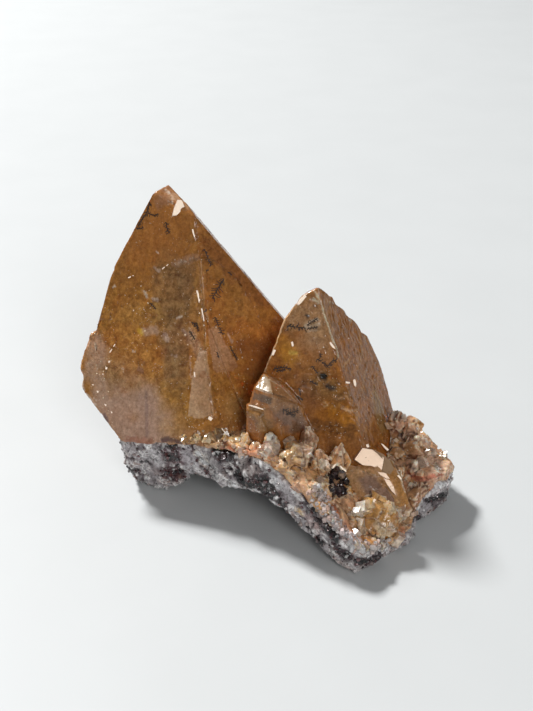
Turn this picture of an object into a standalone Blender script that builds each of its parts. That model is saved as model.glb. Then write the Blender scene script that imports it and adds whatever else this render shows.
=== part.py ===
"""Golden calcite specimen: two dogtooth crystals and a crust of small ones on an arched piece of grey matrix.

Sizes are in millimetres. +X is to the right, +Y to the back and +Z up, and the matrix stands on its feet at Z = 0.
Each large crystal is a group of convex growth blocks, and a block is the space between its flat faces. A face runs
through three named corners, so the corners are the driving dimensions. Neighbours grew against each other: the
later one is cut back by the faces of the earlier one, moved out by a small gap.
"""

import itertools
import math
import random

import bmesh
import bpy
import numpy as np
from mathutils import Matrix, Vector, noise
from mathutils.geometry import delaunay_2d_cdt

MM = 0.001
GAP = 0.3  # clearance between pieces that grew against each other
JOINT_GAP = 0.4  # the same on the uneven joint between the matrix and what grows on it, measured upright
BED = 2.0  # thickness of the crust that carries on below the second crystal and the front crystals
SLIVER = 0.0005  # corners closer than this are merged
FLOOR = 1.0  # level below the joint at which blocks end, before the joint cuts them
ORIGIN = (0.416, -2.984, 0.0)  # point of this layout that becomes the origin, below the middle of the box

# Base colour, roughness and metallic value of each piece.
FINISHES = {
    "honey_calcite": ((0.50, 0.24, 0.08), 0.18, 0.0),
    "amber_calcite": ((0.45, 0.23, 0.09), 0.20, 0.0),
    "brown_calcite": ((0.36, 0.22, 0.14), 0.30, 0.0),
    "grey_matrix": ((0.36, 0.33, 0.34), 0.60, 0.0),
}

# ---- Large crystal -------------------------------------------------------------------------------------------
# The main block has a front ridge that splits low down into two bevels, and a narrow face along its right edge.
# The shoulder is a second block that bulges at the lower left, and the shield a thin growth layer on the right.

LARGE_INSIDE = (-16.0, 10.0, 35.0)
LARGE_CORNERS = {
    "ridge_top": (-16.3, 8.1, 67.8),
    "ridge_split": (-14.8, -1.4, 47.5),
    "ridge_foot": (-13.0, -13.0, 22.4),
    "left_high": (-36.6, 9.0, 54.0),
    "left_middle": (-40.9, 4.6, 40.7),
    "left_corner": (-45.7, 2.0, 31.0),
    "left_low": (-40.0, -4.2, 21.3),
    "left_foot": (-34.5, -8.5, 15.8),
    "left_behind": (-37.0, 20.0, 44.0),
    "bevel_left": (-19.1, -11.4, 21.3),
    "bevel_middle": (-12.9, -11.7, 22.5),
    "bevel_right": (-5.0, -8.3, 22.6),
    "tip_left": (-26.3, 13.3, 71.9),
    "tip_crest": (-24.4, 14.6, 72.8),
    "tip_back": (-22.3, 15.5, 72.9),
    "tip_behind": (-27.0, 20.0, 66.0),
    "right_high": (-15.6, 8.1, 66.9),
    "right_low": (2.3, 7.8, 43.6),
    "right_edge_high": (-16.4, 11.0, 67.4),
    "right_edge_low": (4.1, 10.5, 40.5),
    "right_behind": (-2.0, 20.0, 42.0),
    "end_low": (15.0, 6.0, 20.0),
    "end_high": (16.5, 8.0, 30.0),
    "end_behind": (12.0, 24.0, 26.0),
    "back_high": (-22.0, 17.5, 72.0),
    "back_ridge": (-14.0, 29.5, 30.0),
    "back_left": (-33.0, 25.0, 30.0),
    "back_right": (6.0, 27.0, 28.0),
    "back_foot": (-12.0, 27.5, 15.0),
    "under_behind": (-33.0, 24.0, 16.0),
}
LARGE_FACES = (
    ("ridge_top", "ridge_foot", "left_corner"),
    ("ridge_top", "ridge_foot", "right_low"),
    ("ridge_split", "bevel_left", "bevel_middle"),
    ("ridge_split", "bevel_middle", "bevel_right"),
    ("tip_left", "ridge_top", "tip_back"),
    ("tip_left", "tip_crest", "tip_behind"),
    ("right_high", "right_low", "right_edge_low"),
    ("right_edge_high", "right_edge_low", "right_behind"),
    ("tip_left", "left_high", "left_behind"),
    ("left_high", "left_middle", "left_behind"),
    ("left_low", "left_foot", "under_behind"),
    ("end_low", "end_high", "end_behind"),
    ("back_high", "back_ridge", "back_left"),
    ("back_high", "back_ridge", "back_right"),
    ("back_left", "back_ridge", "back_foot"),
    ("back_right", "back_ridge", "back_foot"),
)
SHOULDER_BLOCK = (
    (-42.7, 4.6, 39.3), (-44.1, 3.4, 35.5), (-45.7, 2.0, 31.0), (-45.4, 4.5, 29.6), (-40.0, -4.2, 21.3),
    (-34.5, -8.5, 15.8), (-40.0, 13.0, 36.0), (-42.0, 15.0, 27.0), (-35.0, 19.0, 15.0), (-24.0, -8.6, 22.0),
    (-24.0, 2.0, 46.0), (-26.0, 22.0, 36.0), (-22.0, 20.0, 8.0), (-22.0, -6.0, 8.0), (-32.0, -6.0, 9.0),
)
SHIELD_OUTLINE = (
    (-15.6, 4.0, 59.2), (-14.0, 5.0, 59.0), (-11.0, 5.8, 56.8), (-7.6, 6.5, 54.0), (-2.5, 5.0, 44.2),
    (1.3, 3.6, 36.5), (4.5, 1.3, 28.0), (5.6, -1.6, 20.6), (-4.0, -7.9, 20.9), (-9.6, -4.9, 33.9),
    (-14.6, -1.1, 47.9),
)
SHIELD_RISE = 0.7

# ---- Second crystal ------------------------------------------------------------------------------------------
# Parallel blades, each behind, to the right of and lower than the last, and a small crystal with a flat top that
# grew into its left foot.

BLADE_INSIDE = (10.0, 3.0, 35.0)
BLADE_CORNERS = {
    "apex": (11.8, -1.0, 54.4),
    "crest_left": (8.4, -1.3, 52.7),
    "left_high": (4.0, -2.9, 47.3),
    "left_low": (-0.7, -7.0, 35.5),
    "left_foot": (-3.6, -12.0, 24.0),
    "left_high_behind": (10.0, 7.1, 47.3),
    "left_low_behind": (3.3, 3.0, 35.5),
    "left_foot_behind": (-2.6, 2.0, 24.0),
    "ridge_low": (16.9, -8.0, 38.0),
    "crest_right": (15.3, 2.0, 50.6),
    "right_high": (16.1, 2.0, 48.7),
    "crest_behind": (11.8, 4.0, 51.4),
    "right_behind": (19.5, 9.0, 34.0),
    "flank_high": (27.6, 8.0, 31.6),
    "flank_low": (32.0, 8.0, 15.1),
    "flank_behind": (26.6, 16.0, 31.6),
    "rear_high": (24.0, 12.6, 32.0),
    "rear_low": (29.6, 12.0, 15.0),
    "rear_behind": (18.0, 20.0, 28.0),
    "back_low": (10.0, 14.0, 26.0),
    "back_left": (-5.0, 8.0, 26.0),
}
BLADE_FACES = (
    ("apex", "left_low", "ridge_low"),
    ("apex", "ridge_low", "right_high"),
    ("apex", "crest_right", "crest_behind"),
    ("crest_right", "right_high", "right_behind"),
    ("apex", "crest_left", "crest_behind"),
    ("crest_left", "left_high", "left_high_behind"),
    ("left_high", "left_low", "left_low_behind"),
    ("left_low", "left_foot", "left_foot_behind"),
    ("crest_behind", "right_behind", "back_low"),
    ("crest_behind", "back_low", "back_left"),
)
FLANK_FACES = (
    ("flank_high", "flank_low", "flank_behind"),
    ("rear_high", "rear_low", "rear_behind"),
)
FLANK_LEDGE = 0.5
BLADE_SHIFTS = ((0.0, 0.0, 0.0), (3.4, 3.0, -5.2), (6.6, 5.0, -9.6), (9.6, 7.0, -14.4))

STEP_BLOCKS = (
    (
        (-2.8, -14.0, 35.2), (1.2, -17.1, 35.3), (0.5, -11.7, 36.7), (-0.7, -10.1, 36.9), (-4.0, -14.5, 30.6),
        (-4.4, -15.4, 19.0), (5.2, -18.8, 18.0), (8.4, -13.0, 29.7), (12.4, -14.0, 18.0), (-3.0, -6.0, 31.0),
        (6.0, -6.0, 31.0), (-3.0, -6.0, 12.0), (9.0, -6.0, 12.0),
    ),
    (
        (-4.6, -14.6, 29.6), (-1.4, -17.2, 29.4), (-0.6, -16.0, 30.2), (-4.6, -12.0, 30.0), (-4.8, -15.6, 18.0),
        (-1.2, -18.4, 18.0), (3.0, -18.0, 18.0), (2.0, -10.0, 18.0), (-4.6, -10.0, 18.0), (0.0, -12.0, 30.0),
    ),
)

# ---- Front crystals ------------------------------------------------------------------------------------------
# Three stubby crystals grown over each other at the front corner, each the hull of its corner points.

FRONT_BLOCKS = (
    (
        (23.6, -12.9, 18.0), (20.5, -18.6, 15.6), (25.4, -19.4, 16.4), (27.0, -16.0, 17.6), (30.2, -13.0, 14.0),
        (31.4, -17.8, 14.0), (32.8, -19.8, 10.0), (34.0, -22.3, 6.0), (34.2, -25.0, 1.0), (24.0, -8.0, 8.0),
        (32.0, -12.0, 6.0), (20.0, -16.0, 6.0), (24.0, -26.0, 3.0),
    ),
    (
        (17.2, -16.0, 16.2), (21.6, -18.4, 16.0), (25.0, -19.6, 15.4), (27.6, -20.8, 13.0), (29.8, -23.6, 10.5),
        (14.6, -19.4, 14.2), (13.4, -23.5, 11.0), (17.6, -27.4, 9.0), (22.0, -28.6, 8.0), (28.0, -28.0, 4.0),
        (15.0, -18.0, 4.0), (18.0, -29.5, 4.0),
    ),
    (
        (22.9, -26.6, 13.0), (26.0, -25.2, 13.4), (28.4, -27.2, 12.4), (30.4, -26.4, 9.0), (30.2, -28.8, 8.4),
        (20.4, -28.2, 9.4), (20.2, -31.0, 5.0), (22.6, -33.6, 4.0), (27.0, -32.4, 3.0), (30.0, -29.6, 4.0),
        (24.0, -24.0, 3.0),
    ),
)
PIT = ((17.8, -22.6, 14.5), 3.4)  # middle and radius of the hollow in the front crystals

# ---- Crust of small crystals ---------------------------------------------------------------------------------
# Crystals that stand out: tip, root, widest radius and the share of the length at which the widest ring sits.

PLACED_CRYSTALS = (
    ((0.2, -17.2, 26.0), (3.6, -18.8, 17.0), 2.3, 0.8),
    ((6.6, -21.8, 25.4), (8.6, -20.6, 15.0), 4.0, 0.7),
    ((11.6, -21.4, 23.6), (12.4, -22.0, 14.0), 2.8, 0.6),
    ((17.2, -19.6, 24.4), (17.0, -17.0, 12.0), 3.0, 0.4),
    ((9.4, -17.0, 27.0), (9.6, -15.6, 18.0), 2.8, 0.4),
    ((-4.2, -15.4, 25.0), (-4.0, -15.2, 17.0), 2.4, 0.6),
    ((-9.6, -14.8, 23.4), (-9.4, -14.6, 15.0), 2.2, 0.5),
    ((32.8, -2.2, 21.6), (30.4, -4.0, 12.0), 2.6, 0.7),
    ((36.6, -3.0, 20.0), (34.0, -4.2, 11.0), 2.9, 0.8),
    ((37.6, -7.6, 17.6), (35.0, -8.0, 8.0), 3.6, 0.7),
    ((44.4, -5.8, 10.8), (40.0, -6.6, 5.0), 3.4, 0.6),
    ((45.6, -9.6, 8.6), (40.6, -10.2, 4.0), 3.0, 0.6),
    ((36.0, -12.6, 14.2), (35.0, -11.0, 6.0), 3.0, 0.6),
    ((23.0, -9.0, 21.6), (23.0, -7.0, 12.0), 2.3, 0.6),
    ((28.4, -9.0, 19.8), (27.4, -7.0, 11.0), 2.6, 0.6),
    ((12.4, -26.8, 18.6), (13.4, -25.6, 11.0), 2.9, 0.6),
)
SCATTER_SPACING = 3.3
SCATTER_TRIES = 900
SCATTER_SEED = 7
BARE_PATCH = ((23.5, -24.5), 12.0)  # middle and radius of the ground that the front crystals keep clear

# ---- Matrix --------------------------------------------------------------------------------------------------
# Values at points (x, y): the height of the joint between matrix and crystals, the depth of the crust on it, the
# height of the underside, and how far the underside lies behind the outline, where the wall leans out.

JOINT_HEIGHTS = (
    (-35.5, -4.0, 14.2), (-34.5, -8.5, 15.5), (-30.0, -9.6, 16.3), (-25.0, -10.8, 17.3), (-17.0, -11.8, 17.8),
    (-12.8, -13.4, 17.8), (-8.3, -16.8, 19.7), (-4.7, -19.5, 20.4), (-1.0, -22.2, 21.2), (3.0, -25.0, 20.0),
    (7.0, -28.0, 17.0), (12.0, -32.0, 14.0), (16.0, -34.6, 10.5), (19.5, -36.0, 6.6), (22.4, -36.0, 4.6),
    (27.0, -31.0, 3.0), (32.0, -26.0, 2.8), (36.6, -18.4, 10.4), (40.2, -15.4, 10.2), (44.3, -10.8, 7.9),
    (38.0, 4.0, 11.0), (30.0, -18.0, 8.0), (10.0, 0.0, 18.0), (20.0, -18.0, 12.0), (0.0, 25.0, 14.0),
    (24.0, 18.0, 9.0), (-25.0, 24.0, 12.0), (-36.0, 10.0, 13.0), (33.4, -23.6, 3.0), (34.0, -21.0, 4.6),
)
CRUST_DEPTHS = (
    (-26.0, -5.0, 0.8), (-17.0, -11.0, 1.6), (-8.0, -17.0, 2.0), (-1.0, -22.0, 1.8), (10.0, -16.0, 4.4),
    (16.0, -30.0, 2.4), (24.0, -30.0, 1.4), (30.0, -4.0, 5.0), (42.0, -8.0, 2.4), (38.0, 2.0, 3.0),
    (10.0, 22.0, 3.0), (-20.0, 28.0, 2.0), (28.0, 14.0, 3.0), (32.0, -25.0, 1.5), (33.4, -21.0, 1.5),
)
UNDER_HEIGHTS = (
    (-34.4, 0.0, 3.4), (-31.5, -2.3, 1.4), (-28.7, -4.0, -0.6), (-24.1, -5.7, 0.2), (-21.6, -6.7, 3.0),
    (-19.5, -8.0, 6.5), (-17.6, -9.1, 8.8), (-12.0, -13.7, 8.3), (-6.6, -18.1, 9.2), (-3.2, -20.6, 10.8),
    (0.0, -23.0, 11.6), (3.3, -25.5, 10.5), (6.4, -27.8, 8.4), (9.0, -29.8, 6.4), (12.3, -32.4, 3.8),
    (15.5, -34.8, 2.0), (19.1, -36.0, -0.6), (22.0, -35.5, -1.6), (26.0, -32.2, -1.4), (31.0, -27.0, -0.8),
    (36.6, -18.1, -0.2), (39.0, -15.8, 0.6), (44.1, -11.4, 1.2), (38.0, 0.0, 2.4), (0.0, 0.0, 11.0),
    (24.0, 13.0, -2.4), (27.0, 8.0, -1.0), (-25.0, 21.0, -2.4), (-29.0, 17.0, -0.8), (0.0, 24.0, 6.0),
    (22.0, -10.0, 7.0), (-24.0, 8.0, 6.0), (-28.0, 0.0, -2.4), (23.0, -30.0, -2.4),
)
UNDERCUTS = (
    (-34.5, -8.0, 6.0), (-30.0, -9.4, 5.4), (-25.0, -10.6, 4.4), (-20.5, -11.4, 3.4), (-16.0, -12.2, 1.8),
    (-8.0, -17.0, 0.0), (0.0, -23.0, 0.0), (-36.5, 6.0, 1.0), (-20.0, 6.0, 1.0), (0.0, 0.0, 0.0), (20.0, 0.0, 0.0),
)
OUTLINE = (
    (-35.6, -2.0), (-34.3, -8.3), (-30.0, -9.5), (-25.0, -10.8), (-20.5, -11.6), (-16.0, -12.4), (-8.0, -17.0),
    (0.0, -23.0), (8.0, -29.0), (15.0, -34.5), (20.5, -37.4), (25.0, -34.2), (30.4, -29.4), (33.8, -25.4),
    (36.2, -19.4), (43.0, -14.0), (45.5, -8.0), (39.5, 0.0), (33.0, 9.0), (24.0, 19.0), (12.0, 26.5),
    (-8.0, 29.5), (-24.0, 28.0), (-33.0, 20.0), (-36.5, 9.0),
)
BLUR = 3.0  # square of the distance within which control points blend
SLAB_SPACING = 2.7
WALL_STEPS = 5
LUMP_COUNT = 34
LUMP_SEED = 11


def face_plane(corners, names, inside):
    """The point and outward normal of the face through three named corners."""
    first, second, third = (Vector(corners[name]) for name in names)
    normal = (second - first).cross(third - first).normalized()
    if normal.dot(Vector(inside) - first) > 0:
        normal.negate()
    return first, normal


def block_planes(corners, faces, inside, shift=(0.0, 0.0, 0.0)):
    """A growth block: the planes of its faces, all moved by shift."""
    planes = (face_plane(corners, names, inside) for names in faces)
    return [(point + Vector(shift), normal) for point, normal in planes]


def hull(points):
    """A bmesh of the convex hull of the points, with flat faces kept whole."""
    work = bmesh.new()
    for point in points:
        work.verts.new(point)
    found = bmesh.ops.convex_hull(work, input=work.verts)
    spare = [item for item in found["geom_interior"] if isinstance(item, bmesh.types.BMVert)]
    bmesh.ops.delete(work, geom=spare, context="VERTS")
    bmesh.ops.dissolve_limit(work, angle_limit=math.radians(0.3), verts=work.verts, edges=work.edges)
    bmesh.ops.recalc_face_normals(work, faces=work.faces)
    return work


def hull_planes(points):
    """A growth block: the planes of the hull of its corner points."""
    work = hull(points)
    planes = [(face.verts[0].co.copy(), face.normal.copy()) for face in work.faces]
    work.free()
    return planes


def layer_planes(outline, rise):
    """A thin growth layer: the planes of a flat outline on a face, raised by rise and rooted 3 mm deep."""
    corners = [Vector(point) for point in outline]
    middle = len(corners) // 2
    normal = (corners[middle] - corners[0]).cross(corners[-1] - corners[0]).normalized()
    if normal.y > 0:
        normal.negate()
    return hull_planes([corner + normal * rise for corner in corners] + [corner - normal * 3.0 for corner in corners])


def new_object(name, work):
    """An object in the scene that holds a bmesh, which is freed."""
    mesh = bpy.data.meshes.new(name)
    work.to_mesh(mesh)
    work.free()
    obj = bpy.data.objects.new(name, mesh)
    bpy.context.scene.collection.objects.link(obj)
    return obj


def cut_block(name, planes, gap=0.0):
    """The convex solid between the planes, each moved out by gap, and above the floor level."""
    points = [point + normal * gap for point, normal in planes] + [Vector((0.0, 0.0, FLOOR))]
    normals = np.array([normal for _, normal in planes] + [Vector((0.0, 0.0, -1.0))])
    reach = (normals * np.array(points)).sum(axis=1)
    corners = {}
    for trio in itertools.combinations(range(len(reach)), 3):
        faces = normals[list(trio)]
        if abs(np.linalg.det(faces)) < 1e-4:
            continue
        corner = np.linalg.solve(faces, reach[list(trio)])
        if (normals @ corner <= reach + 1e-4).all():
            corners[tuple(np.round(corner, 2))] = corner
    return new_object(name, hull(corners.values()))


def apply_modifiers(obj):
    graph = bpy.context.evaluated_depsgraph_get()
    mesh = bpy.data.meshes.new_from_object(obj.evaluated_get(graph))
    obj.modifiers.clear()
    obj.data = mesh


def combine(target, others, operation):
    """Joins others to target, or cuts them from it, and removes them."""
    group = bpy.data.collections.new("operands")
    for other in others:
        group.objects.link(other)
    modifier = target.modifiers.new(operation, "BOOLEAN")
    modifier.operation = operation
    modifier.operand_type = "COLLECTION"
    modifier.collection = group
    modifier.solver = "EXACT"
    apply_modifiers(target)
    bpy.data.collections.remove(group)
    for other in others:
        bpy.data.objects.remove(other)
    return target


def largest_island(work):
    """Deletes the loose chips that a cut leaves."""
    unseen, islands = set(work.verts), []
    while unseen:
        island, front = set(), [unseen.pop()]
        while front:
            vertex = front.pop()
            island.add(vertex)
            linked = {edge.other_vert(vertex) for edge in vertex.link_edges} & unseen
            unseen -= linked
            front += linked
        islands.append(island)
    islands.sort(key=len)
    for island in islands[:-1]:
        bmesh.ops.delete(work, geom=list(island), context="VERTS")


def tidy(obj):
    """Keeps one body, and merges the corners that nearly meet."""
    work = bmesh.new()
    work.from_mesh(obj.data)
    bmesh.ops.remove_doubles(work, verts=work.verts, dist=SLIVER)
    bmesh.ops.dissolve_degenerate(work, dist=SLIVER, edges=work.edges)
    largest_island(work)
    bmesh.ops.triangulate(work, faces=work.faces, ngon_method="EAR_CLIP")
    bmesh.ops.recalc_face_normals(work, faces=work.faces)
    work.to_mesh(obj.data)
    work.free()


def crystal(name, blocks, gap=0.0):
    """One solid from overlapping growth blocks."""
    solids = [cut_block(f"{name}_{index}", planes, gap) for index, planes in enumerate(blocks)]
    first = solids.pop(0)
    first.name = name
    return combine(first, solids, "UNION")


def mould(blocks, bed=0.0):
    """The cutter that clears a crystal out of its neighbours, down to bed above the joint."""
    cutter = crystal("mould", blocks, GAP)
    return combine(cutter, [joint_cutter("bed", bed - GAP, -40.0)], "DIFFERENCE") if bed else cutter


def smooth_height(controls, x, y):
    """Height at (x, y) of a smooth surface near the control points: a weighted mean by distance."""
    points = np.array(controls)
    squared = (points[:, 0] - x) ** 2 + (points[:, 1] - y) ** 2
    weights = 1.0 / (squared + BLUR) ** 1.5
    return float((weights * points[:, 2]).sum() / weights.sum())


def joint_height(x, y):
    ripple = 0.6 * noise.noise(Vector((x / 6.0, y / 6.0, 3.0)))
    return smooth_height(JOINT_HEIGHTS, x, y) + ripple


def under_height(x, y):
    """The underside, flat at Z = 0 where a foot reaches the ground."""
    rough = 2.4 * noise.noise(Vector((x / 5.0, y / 5.0, 9.0))) + 1.2 * noise.noise(Vector((x / 2.2, y / 2.2, 4.0)))
    return max(0.0, smooth_height(UNDER_HEIGHTS, x, y) + 0.5 * rough)


def under_place(x, y):
    """Where a point of the outline's sheet lies on the underside."""
    return x, y + smooth_height(UNDERCUTS, x, y)


def join_rings(work, first, second):
    count = len(first)
    for i in range(count):
        following = (i + 1) % count
        work.faces.new((first[i], first[following], second[following]))
        work.faces.new((first[i], second[following], second[i]))


def joint_cutter(name, offset, far):
    """A solid between the joint surface, raised by offset, and the level far."""
    low, high, step = -56.0, 56.0, 4.0
    count = int((high - low) / step) + 1
    places = [low + i * step for i in range(count)]
    work = bmesh.new()
    surface = [[work.verts.new((x, y, joint_height(x, y) + offset)) for x in places] for y in places]
    plain = [[work.verts.new((x, y, far)) for x in places] for y in places]
    for rows in (surface, plain):
        for near, away in zip(rows, rows[1:]):
            for i in range(count - 1):
                work.faces.new((near[i], near[i + 1], away[i + 1]))
                work.faces.new((near[i], away[i + 1], away[i]))
    last = count - 1
    rim = [(0, i) for i in range(last)] + [(i, last) for i in range(last)]
    rim += [(last, i) for i in range(last, 0, -1)] + [(i, 0) for i in range(last, 0, -1)]
    join_rings(work, [surface[j][i] for j, i in rim], [plain[j][i] for j, i in rim])
    bmesh.ops.recalc_face_normals(work, faces=work.faces)
    return new_object(name, work)


def resample(outline, spacing):
    """Points about spacing apart along a closed outline."""
    corners = [Vector(point) for point in outline]
    placed = []
    for start, end in zip(corners, corners[1:] + corners[:1]):
        pieces = max(1, round((end - start).length / spacing))
        placed += [start.lerp(end, i / pieces) for i in range(pieces)]
    return placed


def slab(name, top_height, bottom_height, roughness, bottom_place=lambda x, y: (x, y)):
    """Two sheets with even triangles over the outline, joined by a rough wall around it."""
    work = bmesh.new()
    around = resample(OUTLINE, SLAB_SPACING)
    count = len(around)
    rng = random.Random(1)
    inner = []
    for row, column in itertools.product(range(-16, 17), range(-18, 19)):
        jitter = Vector((rng.uniform(-0.25, 0.25), rng.uniform(-0.25, 0.25)))
        place = (Vector((column + 0.5 * (row % 2), 0.87 * row)) + jitter) * SLAB_SPACING
        if inside_outline(OUTLINE, *(place * 1.05)):
            inner.append(place)
    sides = [(i, (i + 1) % count) for i in range(count)]
    places, _, faces, *_ = delaunay_2d_cdt(around + inner, sides, [], 1, 1e-5)
    sheets = []
    for height, spots in ((bottom_height, [bottom_place(x, y) for x, y in places]), (top_height, places)):
        sheet = [work.verts.new((x, y, height(x, y))) for x, y in spots]
        for face in faces:
            work.faces.new([sheet[i] for i in face])
        sheets.append(sheet[:count])
    bottom, top = sheets
    levels = [bottom]
    for level in range(1, WALL_STEPS):
        share = level / WALL_STEPS
        ring = []
        for i, (low, high) in enumerate(zip(bottom, top)):
            place = low.co.lerp(high.co, share)
            along = around[(i + 1) % count] - around[i - 1]
            out = Vector((along.y, -along.x)).normalized()
            spot = Vector((place.x / 3.2, place.y / 3.2, place.z / 1.7))
            bulge = roughness * (noise.noise(spot) + 0.4 * math.sin(math.pi * share))
            ring.append(work.verts.new((place.x + out.x * bulge, place.y + out.y * bulge, place.z)))
        levels.append(ring)
    levels.append(top)
    for lower, upper in zip(levels, levels[1:]):
        join_rings(work, lower, upper)
    bmesh.ops.recalc_face_normals(work, faces=work.faces)
    return new_object(name, work)


def rough_ball(name, centre, radius, rng):
    """A lump with flat sides: the hull of random points around a centre, none below the ground."""
    points = []
    for _ in range(14):
        way = Vector((rng.uniform(-1, 1), rng.uniform(-1, 1), rng.uniform(-1, 1))).normalized()
        point = Vector(centre) + way * radius * rng.uniform(0.8, 1.1)
        points.append((point.x, point.y, max(0.0, point.z)))
    return new_object(name, hull(points))


def lumps():
    """Lumps along the wall of the matrix, between the underside and the joint."""
    rng = random.Random(LUMP_SEED)
    around = resample(OUTLINE, SLAB_SPACING)
    made = []
    for index in range(LUMP_COUNT):
        place = around[int((index + rng.random()) * len(around) / LUMP_COUNT) % len(around)]
        x, y = place * rng.uniform(0.93, 0.98)
        low = Vector((*under_place(x, y), under_height(*under_place(x, y))))
        high = Vector((x, y, joint_height(x, y)))
        radius = rng.uniform(1.6, 3.4)
        made.append(rough_ball(f"lump_{index}", low.lerp(high, rng.uniform(0.25, 0.7)), radius, rng))
    return made


def small_crystal(name, tip, root, radius, waist, turn):
    """A stubby three-sided crystal: a zigzag ring of six corners between a blunt tip and the root."""
    tip, root = Vector(tip), Vector(root)
    axis = (tip - root).normalized()
    side = axis.orthogonal().normalized()
    other = axis.cross(side)
    ring = root.lerp(tip, waist)
    points = [tip, root]
    for step in range(6):
        angle = turn + step * math.pi / 3
        rise = axis * radius * (0.35 if step % 2 else -0.35)
        points.append(ring + (side * math.cos(angle) + other * math.sin(angle)) * radius + rise)
    return new_object(name, hull(points))


def inside_outline(outline, x, y):
    """Whether (x, y) is inside a closed outline, by counting the sides to its right."""
    odd = False
    for (x1, y1), (x2, y2) in zip(outline, outline[1:] + outline[:1]):
        if (y1 > y) != (y2 > y) and x < (x2 - x1) * (y - y1) / (y2 - y1) + x1:
            odd = not odd
    return odd


def crust_height(x, y):
    lumps = 0.8 * noise.noise(Vector((x / 2.6, y / 2.6, 6.0)))
    return joint_height(x, y) + smooth_height(CRUST_DEPTHS, x, y) + lumps


def small_crystals():
    """The small crystals of the crust: those placed by hand, and seeded random ones between them."""
    rng = random.Random(SCATTER_SEED)
    made = [
        small_crystal(f"placed_{index}", tip, root, radius, waist, rng.uniform(0.0, 1.0))
        for index, (tip, root, radius, waist) in enumerate(PLACED_CRYSTALS)
    ]
    taken = [Vector(placed[1][:2]) for placed in PLACED_CRYSTALS]
    for index in range(SCATTER_TRIES):
        place = Vector((rng.uniform(-38.0, 46.0), rng.uniform(-38.0, 30.0)))
        crowded = any((place - other).length < SCATTER_SPACING for other in taken)
        crowded = crowded or (place - Vector(BARE_PATCH[0])).length < BARE_PATCH[1]
        if crowded or not inside_outline(OUTLINE, *(place * 1.07)):
            continue
        taken.append(place)
        radius = rng.uniform(1.4, 2.5)
        lean = Vector((rng.uniform(-0.6, 0.6), rng.uniform(-0.6, 0.6), 1.0)).normalized()
        root = Vector((*place, crust_height(*place) - 1.6))
        tip = root + lean * (1.6 + radius * 1.1)
        made.append(small_crystal(f"scattered_{index}", tip, root, radius, 0.6, rng.uniform(0.0, 1.0)))
    return made


def large_blocks():
    return [
        block_planes(LARGE_CORNERS, LARGE_FACES, LARGE_INSIDE),
        hull_planes(SHOULDER_BLOCK),
        layer_planes(SHIELD_OUTLINE, SHIELD_RISE),
    ]


def second_blocks():
    """The blades end at a steep flank on the right, each a ledge further out, and the steps join the left foot."""
    blocks = [hull_planes(points) for points in STEP_BLOCKS]
    for index, shift in enumerate(BLADE_SHIFTS):
        ledge = (FLANK_LEDGE * (index + 1 - len(BLADE_SHIFTS)), 0.0, 0.0)
        flank = block_planes(BLADE_CORNERS, FLANK_FACES, BLADE_INSIDE, ledge)
        blocks.append(block_planes(BLADE_CORNERS, BLADE_FACES, BLADE_INSIDE, shift) + flank)
    return blocks


def front_blocks():
    return [hull_planes(points) for points in FRONT_BLOCKS]


def material(name):
    colour, roughness, metallic = FINISHES[name]
    made = bpy.data.materials.new(name)
    made.use_nodes = True
    shader = made.node_tree.nodes["Principled BSDF"]
    shader.inputs["Base Color"].default_value = (*colour, 1.0)
    shader.inputs["Roughness"].default_value = roughness
    shader.inputs["Metallic"].default_value = metallic
    return made


def below_joint(bed=0.0):
    """The space under the crystals, up to bed above the joint."""
    return joint_cutter("below_joint", bed or JOINT_GAP, -40.0)


def build():
    for obj in list(bpy.data.objects):
        bpy.data.objects.remove(obj)

    large = crystal("large_crystal", large_blocks())
    combine(large, [below_joint()], "DIFFERENCE")

    second = crystal("second_crystal", second_blocks())
    combine(second, [mould(large_blocks()), below_joint(BED)], "DIFFERENCE")

    front = crystal("front_crystals", front_blocks())
    pit = rough_ball("pit", *PIT, random.Random(3))
    combine(front, [mould(second_blocks()), pit, below_joint(BED)], "DIFFERENCE")

    crust = slab("small_crystals", crust_height, lambda x, y: joint_height(x, y) - 3.0, 1.0)
    combine(crust, small_crystals(), "UNION")
    later = mould(second_blocks() + front_blocks(), BED)
    combine(crust, [mould(large_blocks()), later, below_joint()], "DIFFERENCE")

    matrix = slab("matrix", lambda x, y: joint_height(x, y) + 5.0, under_height, 1.6, under_place)
    combine(matrix, lumps(), "UNION")
    combine(matrix, [joint_cutter("above_joint", 0.0, 90.0)], "DIFFERENCE")

    looks = {
        large: "honey_calcite",
        second: "amber_calcite",
        front: "amber_calcite",
        crust: "brown_calcite",
        matrix: "grey_matrix",
    }
    for obj, name in looks.items():
        tidy(obj)
        obj.data.materials.clear()
        obj.data.materials.append(material(name))
        obj.data.transform(Matrix.Scale(MM, 4) @ Matrix.Translation(-Vector(ORIGIN)))


build()
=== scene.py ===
"""Looks of a calcite specimen: two golden crystals and a crust of small ones on a grey quartz matrix.

Lengths are in millimetres until a mesh is written. The crystals and the matrix are the CAD solids made dense, worn
and painted, so they stay where the frame has them. Places are written as pixels of the picture that the camera sees.
"""
import itertools
import math
import bmesh
import bpy
import numpy as np
from mathutils import Matrix, Vector
from mathutils.bvhtree import BVHTree


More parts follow.
